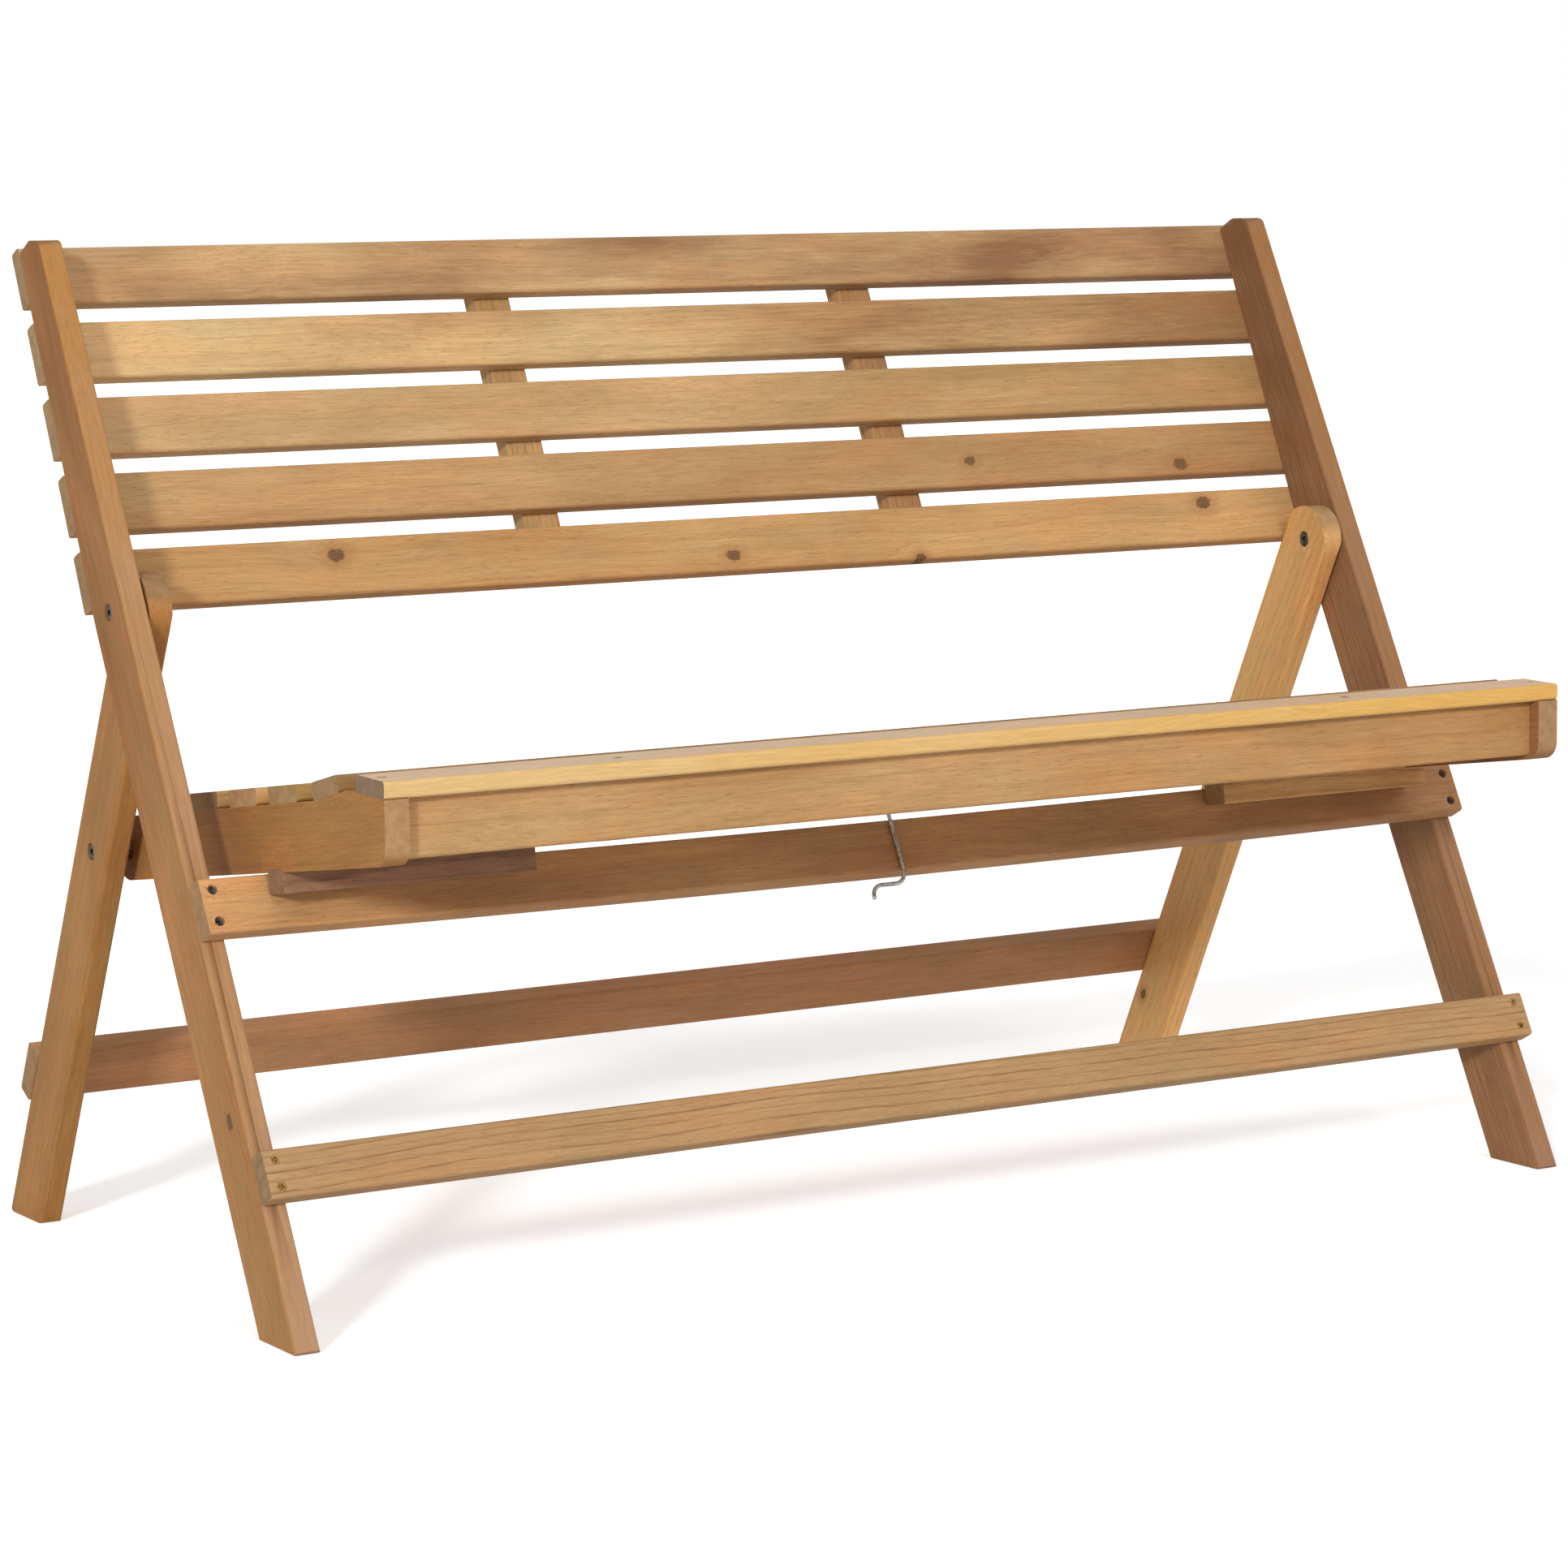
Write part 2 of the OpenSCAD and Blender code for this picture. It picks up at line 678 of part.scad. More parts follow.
module front_crossbar() {
    color(wood) difference() {
        on_post() translate([0, -crossbar_t, crossbar_base]) cross_board(bench_w, crossbar_t, crossbar_w, edge_r);
        both_sides() crossbar_end_screws() screw_hole(screw_len, crossbar_sink + 1);
    }
}

module lower_stretcher() {
    color(wood) difference() {
        on_post() translate([0, -stretcher_t, stretcher_rise])
            cross_board(bench_w, stretcher_t, stretcher_w, edge_r);
        both_sides() stretcher_end_screws() screw_hole(screw_len, 1);
    }
}

module crossbar_screws() { color(steel) both_sides() crossbar_end_screws() wood_screw(screw_len); }
module stretcher_screws() { color(brass) both_sides() stretcher_end_screws() wood_screw(screw_len); }
module back_slat_screws() { color(brass) both_sides() back_end_screws() wood_screw(screw_len); }
module batten_screws() { color(brass) both_sides() batten_screw_places() wood_screw(screw_len); }

frame_nut_x = leg_x - leg_t + recess_depth - run_gap; // bolt side of the frame pivot's nut
module frame_pivot_bolts() {
    color(steel) both_sides() frame_pivot_place() translate([-head_sink, 0, 0])
        bolt(post_x - head_sink - frame_nut_x + nut_grip);
}

module frame_pivot_nuts() {
    color(steel) both_sides() on_leg() translate([frame_nut_x - bolt_head_t, 0, 0])
        rotate([0, -90, 0]) nut_disc();
}

module frame_pivot_washers() {
    color(steel) both_sides() on_leg() translate([leg_x + run_gap, 0, 0]) rotate([0, 90, 0]) difference() {
        cylinder(h = washer_t, d = washer_d);
        translate([0, 0, -1]) cylinder(h = washer_t + 2, d = bolt_d);
    }
}

module rear_leg_left() { color(wood) mirror([1, 0, 0]) rear_leg(); }
module rear_leg_right() { color(wood) rear_leg(); }

module rear_stretcher() {
    color(wood) difference() {
        on_leg() translate([0, leg_w / 2, rear_stretcher_base])
            cross_board(2 * leg_x, rear_stretcher_t, rear_stretcher_w, edge_r);
        both_sides() rear_end_screws() screw_hole(screw_len, 1);
    }
}

module rear_stretcher_screws() { color(brass) both_sides() rear_end_screws() wood_screw(screw_len); }

seat_nut_x = rail_x - rail_t + recess_depth - run_gap; // bolt side of the seat pivot's nut
module seat_pivot_bolts() {
    color(steel) both_sides() seat_pivot_place() translate([-head_sink, 0, 0])
        bolt(leg_x - head_sink - seat_nut_x + nut_grip);
}

module seat_pivot_nuts() {
    color(steel) both_sides() on_seat() translate([seat_nut_x - bolt_head_t, 0, 0])
        rotate([0, -90, 0]) nut_disc();
}

module seat_pivot_spacers() {
    color(steel) both_sides() on_seat() translate([rail_x + run_gap, 0, 0]) rotate([0, 90, 0]) difference() {
        cylinder(h = rail_side_gap - run_gap, d = washer_d);
        translate([0, 0, -1]) cylinder(h = rail_side_gap + 2, d = bolt_d);
    }
}

module seat_rail_left() { color(wood) mirror([1, 0, 0]) side_rail(); }
module seat_rail_right() { color(wood) side_rail(); }
module seat_mid_rail_left() { color(wood) mirror([1, 0, 0]) mid_rail(); }
module seat_mid_rail_right() { color(wood) mid_rail(); }
module seat_apron() { color(wood) apron(); }
module seat_slat_1() { color(wood) seat_slat(1); }
module seat_slat_2() { color(wood) seat_slat(2); }
module seat_slat_3() { color(wood) seat_slat(3); }
module seat_slat_4() { color(wood) seat_slat(4); }
module seat_slat_5() { color(wood) seat_slat(5); }
module seat_slat_6() { color(wood) seat_slat(6); }

module seat_slat_screws() {
    color(brass) both_sides()
        for (x = [rail_x - rail_t / 2, mid_rail_x]) slat_screw_places(x) wood_screw(slat_screw_len);
}

module seat_cleat_left() { color(dark_wood) mirror([1, 0, 0]) cleat(); }
module seat_cleat_right() { color(dark_wood) cleat(); }
module cleat_screws() { color(brass) both_sides() cleat_screw_places() wood_screw(screw_len); }
module latch_eye() { color(steel) eye(); }
module latch_hook() { color(steel) hook(); }

post_left();
post_right();
back_slat_1();
back_slat_2();
back_slat_3();
back_slat_4();
back_slat_5();
back_batten_left();
back_batten_right();
front_crossbar();
lower_stretcher();
crossbar_screws();
stretcher_screws();
back_slat_screws();
batten_screws();
frame_pivot_bolts();
frame_pivot_nuts();
frame_pivot_washers();
rear_leg_left();
rear_leg_right();
rear_stretcher();
rear_stretcher_screws();
seat_pivot_bolts();
seat_pivot_nuts();
seat_pivot_spacers();
seat_rail_left();
seat_rail_right();
seat_mid_rail_left();
seat_mid_rail_right();
seat_apron();
seat_slat_1();
seat_slat_2();
seat_slat_3();
seat_slat_4();
seat_slat_5();
seat_slat_6();
seat_slat_screws();
seat_cleat_left();
seat_cleat_right();
cleat_screws();
latch_eye();
latch_hook();
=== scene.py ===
# %% [markdown]
# # A slatted folding bench
# The bench is oiled acacia: two long leaning posts carry five back slats, a rear
# frame turns on a bolt through each post, and a slatted seat turns on the rear legs.
# The shapes come packed from the CAD. This script gives every board its own piece of
# timber, and every screw its cross recess, because that is what the eye looks for.
# It also lets the crossbar sag and rounds the top of each post.

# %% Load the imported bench
import bpy
import bmesh
import math
import numpy as np
from contextlib import contextmanager
from mathutils import Matrix, Vector


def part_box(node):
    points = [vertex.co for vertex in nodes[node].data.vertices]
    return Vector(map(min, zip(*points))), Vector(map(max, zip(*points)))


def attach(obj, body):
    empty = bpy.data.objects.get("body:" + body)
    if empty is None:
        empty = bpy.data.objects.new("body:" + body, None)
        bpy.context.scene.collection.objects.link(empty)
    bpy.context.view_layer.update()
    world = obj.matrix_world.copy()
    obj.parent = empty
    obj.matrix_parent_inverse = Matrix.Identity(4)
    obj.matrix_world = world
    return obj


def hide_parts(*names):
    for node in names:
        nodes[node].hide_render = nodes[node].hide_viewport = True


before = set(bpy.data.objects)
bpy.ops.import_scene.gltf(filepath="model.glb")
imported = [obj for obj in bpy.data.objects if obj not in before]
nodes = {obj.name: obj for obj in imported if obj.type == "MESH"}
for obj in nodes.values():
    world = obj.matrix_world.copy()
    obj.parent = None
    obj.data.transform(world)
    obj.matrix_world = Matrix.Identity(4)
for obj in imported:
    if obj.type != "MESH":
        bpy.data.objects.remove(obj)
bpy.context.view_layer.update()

# %% [markdown]
# ## The camera
# The photograph is taken from low down in front, to the bench's right-hand side as
# one sits on it, with a long lens. Its yaw, pitch and roll were solved from the
# straight edges of the boards. The small shift puts the lens's middle where it
# falls in a picture that was cropped after it was taken.

# %% Camera
PHOTO_SIZE = 1932                                     # px, each side
FOCAL = 5839.6                                        # px
LENS_MIDDLE = (971.1, 1059.1)                         # px, from the top left
SENSOR = 36                                           # mm, its width
YAW, PITCH, ROLL = 0.53772, -0.13604, -0.01659        # radians
CAMERA_PLACE = Vector((-2.03255, -3.39968, 0.83173))  # m


def camera_turn(yaw, pitch, roll):
    """Rotation whose columns are the picture's right, its up, and the way back to the viewer."""
    ahead = Vector((math.sin(yaw) * math.cos(pitch), math.cos(yaw) * math.cos(pitch), math.sin(pitch)))
    right = Vector((math.cos(yaw), -math.sin(yaw), 0))
    up = right.cross(ahead)
    right_rolled = right * math.cos(roll) + up * math.sin(roll)
    up_rolled = up * math.cos(roll) - right * math.sin(roll)
    return Matrix((right_rolled, up_rolled, -ahead)).transposed()


lens = bpy.data.cameras.new("photo_lens")
lens.sensor_fit = "HORIZONTAL"
lens.sensor_width = SENSOR
lens.lens = FOCAL / PHOTO_SIZE * SENSOR
lens.shift_x = (PHOTO_SIZE / 2 - LENS_MIDDLE[0]) / PHOTO_SIZE
lens.shift_y = (LENS_MIDDLE[1] - PHOTO_SIZE / 2) / PHOTO_SIZE
camera = bpy.data.objects.new("photo_camera", lens)
camera.matrix_world = Matrix.Translation(CAMERA_PLACE) @ camera_turn(YAW, PITCH, ROLL).to_4x4()
bpy.context.scene.collection.objects.link(camera)
bpy.context.scene.camera = camera
print("lens", round(lens.lens, 2), "mm, shift", round(lens.shift_x, 4), round(lens.shift_y, 4))

# %% [markdown]
# ## Nodes and colours
# A material is a small tree of nodes. One function adds any node, sets it up and
# joins it to others, and shorter ones build on it for the kinds that come up most:
# sums, spans and blends of colour. Colours are written as they are seen on a screen,
# in hex, and one function turns them into the linear light that Blender reckons with.

# %% Helpers for materials
def add(tree, kind, links=None, **settings):
    """Adds one node. A link is a value, another node (its first output in use) or an output."""
    made = tree.nodes.new(kind if kind.startswith("Node") else "ShaderNode" + kind)
    for name, value in settings.items():
        setattr(made, name, value)
    for place, value in (links or {}).items():
        if isinstance(value, bpy.types.Node):
            value = next(out for out in value.outputs if out.enabled)
        if isinstance(value, bpy.types.NodeSocket):
            tree.links.new(value, made.inputs[place])
        else:
            made.inputs[place].default_value = value
    return made


def maths(tree, operation, *values, **settings):
    """A sum on numbers, which are its values in their order."""
    return add(tree, "Math", dict(enumerate(values)), operation=operation, **settings)


def vectors(tree, operation, *values):
    """A sum on vectors, which are its values in their order."""
    return add(tree, "VectorMath", dict(enumerate(values)), operation=operation)


def span(tree, value, start=(0.0, 1.0), goal=(0.0, 1.0), curve="LINEAR", **settings):
    """Moves a value from the start's span to the goal's, straight or along a smooth curve."""
    ends = {"From Min": start[0], "From Max": start[1], "To Min": goal[0], "To Max": goal[1]}
    return add(tree, "MapRange", {"Value": value, **ends}, interpolation_type=curve, **settings)


def blend(tree, share, first, second, kind="MIX"):
    """The first colour, with that share of the second mixed into it or multiplied onto it."""
    return add(tree, "Mix", {0: share, 6: first, 7: second}, data_type="RGBA", blend_type=kind)


def times(tree, colour, factor):
    """A colour multiplied by another one, or by a shade."""
    return blend(tree, 1.0, colour, factor, "MULTIPLY")


def linear(code):
    """sRGB hex to linear: c/12.92 for dark values, ((c + 0.055)/1.055)^2.4 for the others."""
    srgb = [int(code[i:i + 2], 16) / 255 for i in (1, 3, 5)]
    return [c / 12.92 if c <= 0.04045 else ((c + 0.055) / 1.055) ** 2.4 for c in srgb] + [1]


def plain_material(name):
    """A material with an empty tree, and that tree."""
    material = bpy.data.materials.new(name)
    material.use_nodes = True
    material.node_tree.nodes.clear()
    return material, material.node_tree


def new_group(name, takes, gives):
    """A node group with these sockets, and the outputs of the node that hands its inputs in."""
    group = bpy.data.node_groups.new(name, "ShaderNodeTree")
    for way, kinds in (("INPUT", takes), ("OUTPUT", gives)):
        for socket, kind in kinds.items():
            group.interface.new_socket(name=socket, in_out=way, socket_type="NodeSocket" + kind)
    return group, add(group, "NodeGroupInput").outputs


# %% [markdown]
# ## Floor, world and light
# The picture has a white ground and two lights. The main one stands low in front, some
# way to the camera's left: the left post throws a dark band on the seat rail behind
# it, and the rail a slanting shadow on the crossbar. A weaker, broader one stands
# straight in front. Two suns give them, since a sun stays even out to the horizon.
# White walls fill the rest, less from the left, so that the band is dark. The camera
# sees the world and the lit floor as white, and only a shadow shows on the floor.

# %% Floor
WHITE = (1, 1, 1, 1)
FLOOR_HALF = 40.0       # m, from the middle to an edge
FLOOR_DROP = 0.0005     # m, so that it doesn't cross the undersides of the feet
FLOOR_GLOW = 0.38       # what lifts the lit floor to white in the camera's eye
FLECKS = 40.0           # in a metre
FLECK_SHADES = (0.86, 0.90)

paper, tree = plain_material("matt_white_studio_floor")
fleck = add(tree, "TexNoise", {"Vector": add(tree, "TexCoord").outputs["Object"], "Scale": FLECKS})
matt = add(tree, "BsdfDiffuse", {"Color": span(tree, fleck, goal=FLECK_SHADES), "Roughness": 0.5})
glow = add(tree, "Emission", {"Color": WHITE, "Strength": FLOOR_GLOW})
lifted = add(tree, "AddShader", {0: matt, 1: glow})
path = add(tree, "LightPath")
both = add(tree, "MixShader", {0: path.outputs["Is Camera Ray"], 1: matt, 2: lifted})
add(tree, "OutputMaterial", {"Surface": both})

ground = bpy.data.meshes.new("floor")
corners = [(x * FLOOR_HALF, y * FLOOR_HALF, 0) for x, y in ((-1, -1), (1, -1), (1, 1), (-1, 1))]
ground.from_pydata(corners, [], [(0, 1, 2, 3)])
ground.materials.append(paper)
floor = bpy.data.objects.new("floor", ground)
floor.location = (0, 0, -FLOOR_DROP)
bpy.context.scene.collection.objects.link(floor)
print("floor", 2 * FLOOR_HALF, "m wide")

# %% World and suns
FILL, FILL_TILT = 0.60, 0.38     # strength of the white walls, and how far it rises and falls
FILL_FROM = (0.99, 0.10, 0.0)    # where the walls are brightest
SUNS = {"main_light": dict(stands=(-0.70, -0.64, 0.32), strength=1.50, degrees_wide=8.0),
        "front_light": dict(stands=(-0.05, -0.90, 0.44), strength=0.55, degrees_wide=18.0)}

world = bpy.data.worlds.new("white_studio")
world.use_nodes = True
tree = world.node_tree
tree.nodes.clear()
path = add(tree, "LightPath").outputs
glossy = maths(tree, "MAXIMUM", path["Is Camera Ray"], path["Is Glossy Ray"])
clear = maths(tree, "MAXIMUM", glossy, path["Is Transmission Ray"])
aim = vectors(tree, "DOT_PRODUCT", add(tree, "TexCoord").outputs["Generated"], FILL_FROM)
level = maths(tree, "MULTIPLY_ADD", aim.outputs["Value"], FILL_TILT, FILL)
soft = add(tree, "Background", {"Color": WHITE, "Strength": level})
white = add(tree, "Background", {"Color": WHITE, "Strength": 1.0})
add(tree, "OutputWorld", {"Surface": add(tree, "MixShader", {0: clear, 1: soft, 2: white})})
bpy.context.scene.world = world

for name, look in SUNS.items():
    sun = bpy.data.lights.new(name, "SUN")
    sun.energy = look["strength"]
    sun.angle = math.radians(look["degrees_wide"])
    lamp = bpy.data.objects.new(name, sun)
    lamp.rotation_euler = Vector(look["stands"]).to_track_quat("Z", "Y").to_euler()  # it shines along -Z
    bpy.context.scene.collection.objects.link(lamp)
    print(name, look)
bpy.context.scene.view_settings.view_transform = "Standard"
print("fill", round(FILL - FILL_TILT, 2), "to", round(FILL + FILL_TILT, 2))

# %% [markdown]
# ## Oiled acacia
# Wood is a solid: the rings of the tree run through a board, so the face, the edge and
# the end show one pattern cut three ways. The figure is therefore reckoned in three
# dimensions, in millimetres, with u along the board and v and w across it. A point's
# distance from the tree's heart gives its ring, and noise stretched along u gives the
# fibres, the pores and the broad bands of light and dark. It is a node group, so that
# all boards share it and each sets its own heart, ring width and colours.

# %% Inputs of the acacia figure, and its noise
figure, asked = new_group(
    "acacia_figure",
    {"Place": "Vector", "Facing": "Vector", "Heart": "Vector", "Ring width": "Float",
     "Ring depth": "Float", "Late": "Float", "End": "Float", "Seed": "Float", "Drift": "Float",
     "Cloud": "Float", "Sap radius": "Float", "Light": "Color", "Dark": "Color", "Line": "Color",
     "Sap": "Color"},
    {"Color": "Color", "Height": "Float", "Roughness": "Float"})


def grain(place, length, width, detail=2.0, roughness=0.5):
    """Noise whose blots are about length mm along the grain and width mm across it."""
    size = vectors(figure, "MULTIPLY", place, (1 / length, 1 / width, 1 / width))
    return add(figure, "TexNoise", {"Vector": size, "Scale": 1.0, "Detail": detail, "Roughness": roughness})


def centred(noise):
    """The noise's three colours, which lie round a half, as a vector that lies round nought."""
    return vectors(figure, "SUBTRACT", noise.outputs["Color"], (0.5, 0.5, 0.5))


# %% Rings: the fibres sway and the heart wanders, so the rings wave along the board
SEED_APART = (977.0, 61.0)           # mm along u and v from one seed's noise to the next one's
SWAY = 26.0                          # mm, the breadth within which a fibre sways
WANDER = 30.0                        # mm, the breadth within which the heart strays
CROWD_OVER, CROWDING = 20.0, 2.2     # mm from crowded rings to wide ones, and how many rings too many
RING_END = 0.92                      # the share of a ring's width at which its line is darkest

away = add(figure, "CombineXYZ", {"X": maths(figure, "MULTIPLY", asked["Seed"], SEED_APART[0]),
                                  "Y": maths(figure, "MULTIPLY", asked["Seed"], SEED_APART[1])})
sway = centred(grain(vectors(figure, "ADD", asked["Place"], away), 260, 90, 1.0))
swayed = vectors(figure, "MULTIPLY_ADD", sway, (0, SWAY, SWAY), away)
spot = vectors(figure, "ADD", asked["Place"], swayed)
stray = vectors(figure, "MULTIPLY", centred(grain(spot, 420, 200, 1.0)), (0, WANDER, WANDER))


def from_heart(place):
    """The distance of a place from the heart, which runs along u."""
    arm = vectors(figure, "SUBTRACT", place, asked["Heart"])
    return vectors(figure, "LENGTH", vectors(figure, "MULTIPLY", arm, (0, 1, 1))).outputs["Value"]


radius = from_heart(vectors(figure, "ADD", asked["Place"], stray))
ragged = span(figure, grain(spot, 34, 3.5, 3.0), goal=(-1.0, 1.0))
rough_radius = maths(figure, "ADD", ragged, radius)
sap_reach = maths(figure, "ADD", from_heart(asked["Place"]), ragged)
pace = add(figure, "TexNoise", {"W": maths(figure, "MULTIPLY", radius, 1 / CROWD_OVER), "Scale": 1.0,
                                "Detail": 1.0}, noise_dimensions="1D")
phase = maths(figure, "ADD", maths(figure, "DIVIDE", rough_radius, asked["Ring width"]),
              maths(figure, "MULTIPLY", pace, CROWDING))
part = maths(figure, "FRACT", phase)
count = add(figure, "TexWhiteNoise", {"W": maths(figure, "FLOOR", phase)}, noise_dimensions="1D")
rise = span(figure, part, (asked["Late"], RING_END), curve="SMOOTHSTEP")
fall = span(figure, part, (RING_END, 1.0), (1.0, 0.0), curve="SMOOTHSTEP")
line = maths(figure, "MULTIPLY", rise, fall)
broken = span(figure, grain(spot, 55, 2.2, 2.0), (0.35, 0.60), (0.35, 1.0))
weight = maths(figure, "MULTIPLY", span(figure, count.outputs["Value"], goal=(0.25, 1.0)), broken)
ring = maths(figure, "MULTIPLY", maths(figure, "MULTIPLY", line, weight), asked["Ring depth"])

# %% Broad tone: clouds, streaks and a drift from one end to the other
STREAK = 0.17                                               # share of the way from light to dark
COOL, WARM = (0.95, 1.0, 0.96, 1), (1.05, 1.0, 0.93, 1)     # tints that lie in patches on the wood
PER_METRE = 0.001                                           # in a millimetre, for the drift

cloud = span(figure, grain(spot, 190, 60, 3.0, 0.55), (0.25, 0.75), (-1.0, 1.0), clamp=False)
streak = span(figure, grain(spot, 150, 2.6, 4.0, 0.6), (0.25, 0.75), (-STREAK, STREAK), clamp=False)
along = add(figure, "SeparateXYZ", {"Vector": asked["Place"]}).outputs["X"]
slope = maths(figure, "MULTIPLY", along, maths(figure, "MULTIPLY", asked["Drift"], PER_METRE))
clouded = maths(figure, "MULTIPLY_ADD", cloud, asked["Cloud"], slope)
tone = maths(figure, "ADD", maths(figure, "ADD", clouded, streak), 0.5, use_clamp=True)
toned = blend(figure, tone, asked["Light"], asked["Dark"])
warmth = span(figure, grain(spot, 120, 34, 2.0), (0.38, 0.62))
tinted = times(figure, toned, blend(figure, warmth, COOL, WARM))
ringed = blend(figure, ring, tinted, asked["Line"])

# %% Fibres and pores: 1.2 mm and 0.7 mm across, a little coarser than real ones, so that they show
PORE_DEPTH = 0.30       # how much of the dark line's colour a pore takes

fibre = grain(spot, 34, 1.2, 5.0, 0.68)
fibre_shade = span(figure, fibre, (0.25, 0.75), (0.82, 1.16), clamp=False)
fibred = times(figure, ringed, fibre_shade)
pore = span(figure, grain(spot, 11, 0.7, 1.0), (0.60, 0.72), curve="SMOOTHSTEP")
pored = blend(figure, maths(figure, "MULTIPLY", pore, PORE_DEPTH), fibred, asked["Line"])

# %% Sapwood outside the heartwood, and end grain, which is sawn rough and greyer
SAP_EDGE = 1.5                          # mm, half the width of the edge between sapwood and heartwood
SAP_DEEP = (0.94, 0.76, 0.38, 1)        # tint of the sapwood where the broad tone is dark
END_TINT, END_SHARE = "#ae8d6a", 0.6    # the grey-brown of an end, and how much of it the wood takes on

past = maths(figure, "SUBTRACT", sap_reach, asked["Sap radius"])
sap_share = span(figure, past, (-SAP_EDGE, SAP_EDGE), curve="SMOOTHSTEP")
sap_toned = blend(figure, tone, asked["Sap"], times(figure, asked["Sap"], SAP_DEEP))
sapped = blend(figure, sap_share, pored, times(figure, sap_toned, fibre_shade))
facing_end = add(figure, "SeparateXYZ", {"Vector": asked["Facing"]}).outputs["X"]
turned = maths(figure, "ABSOLUTE", facing_end)
end = span(figure, turned, (0.55, 0.92), curve="SMOOTHSTEP")
blots = span(figure, grain(spot, 30, 7, 3.0), (0.3, 0.7), (0.85, 1.12))
end_shade = maths(figure, "MULTIPLY", blots, asked["End"])
end_wood = times(figure, blend(figure, END_SHARE, sapped, linear(END_TINT)), end_shade)
ended = blend(figure, end, sapped, end_wood)

# %% What the figure gives: colour, height in parts of the bump's depth, and roughness
proud = maths(figure, "MULTIPLY_ADD", fibre, 0.55, 0.2)
pitted = maths(figure, "MULTIPLY_ADD", pore, -0.6, proud)
height = maths(figure, "SUBTRACT", pitted, maths(figure, "MULTIPLY", ring, 0.25))
gloss = maths(figure, "MULTIPLY_ADD", fibre, 0.18, 0.42)
dull = maths(figure, "MULTIPLY_ADD", end, 0.14, gloss)
add(figure, "NodeGroupOutput", {"Color": ended, "Height": height, "Roughness": dull})
print("acacia figure:", len(figure.nodes), "nodes")

# %% [markdown]
# ## Knots
# A knot is a branch that the trunk grew round. The fibres part before it and close
# behind it, as water does round a post, so the place across the grain is taken from
# the stream round a cylinder: v' = v (1 - R^2/d^2). The branch itself shows as a dark
# disc with rings of its own, and a reddish halo lies round it.

# %% The knot group
FLATTENED = (0.72, 1.0, 0.0)      # a knot is longer along the grain, and runs through the board
YEARS = 4.2                       # radians of the knot's own rings in a millimetre

knot, taken = new_group("branch_knot", {"Place": "Vector", "Middle": "Vector", "Radius": "Float"},
                        {"Place": "Vector", "Core": "Float", "Halo": "Float", "Shade": "Float"})
off = vectors(knot, "SUBTRACT", taken["Place"], taken["Middle"])
oval = vectors(knot, "LENGTH", vectors(knot, "MULTIPLY", off, FLATTENED)).outputs["Value"]
wobble = add(knot, "TexNoise", {"Vector": taken["Place"], "Scale": 0.30, "Detail": 4.0})
reach = maths(knot, "MULTIPLY", oval, span(knot, wobble, goal=(0.45, 1.55)))
share = maths(knot, "DIVIDE", reach, taken["Radius"])
square = maths(knot, "POWER", maths(knot, "MAXIMUM", share, 1.0), 2.0)
inward = vectors(knot, "MULTIPLY", off, (0.0, -1.0, 0.0))
push = add(knot, "VectorMath", {0: inward, "Scale": maths(knot, "DIVIDE", 1.0, square)}, operation="SCALE")
parted = vectors(knot, "ADD", taken["Place"], push)
core = span(knot, share, (0.75, 1.10), (1.0, 0.0), curve="SMOOTHSTEP")
halo = span(knot, share, (0.9, 3.0), (0.45, 0.0), curve="SMOOTHERSTEP")
years = maths(knot, "SINE", maths(knot, "MULTIPLY", reach, YEARS))
knot_shade = span(knot, years, (-1.0, 1.0), (0.50, 1.15))
add(knot, "NodeGroupOutput", {"Place": parted, "Core": core, "Halo": halo, "Shade": knot_shade})
print("knot:", len(knot.nodes), "nodes")

# %% [markdown]
# ## One piece of timber for each board
# A board's place in the pattern is its own: a Mapping node puts the board's middle at
# the origin, turns its length to u, its width to v and the face that the photograph
# shows to +w, and counts in millimetres. The heart then says how the board was sawn:
# far off to one side gives straight stripes, and just behind the face gives flames.

# %% Material of one board
MM = 1000                                                # in a metre
POST_TILT, BACK_TILT, LEG_TILT = 27.3, 23.95, -27.8      # degrees from upright
SEAT_TILT = 7.6                                          # degrees from level
CROSS_BACK, CROSS_POST, CROSS_LEG = ((tilt - 90, 0, 0) for tilt in (BACK_TILT, POST_TILT, LEG_TILT))
BATTEN, POST, LEG = ((tilt, 90, 0) for tilt in (BACK_TILT, POST_TILT, LEG_TILT))
SEAT_FLAT, SEAT_UPRIGHT, SEAT_RAIL = (SEAT_TILT, 0, 0), (-90, 0, 0), (SEAT_TILT, 0, 90)
KNOT_CORE, KNOT_HALO = "#84603f", "#a87649"
BUMP, BUMP_DEPTH = 0.35, 0.0004                          # its strength, and its depth in m
OIL_IOR, OIL_SHINE = 1.48, 0.10                          # a thin coat, most of it sunk in


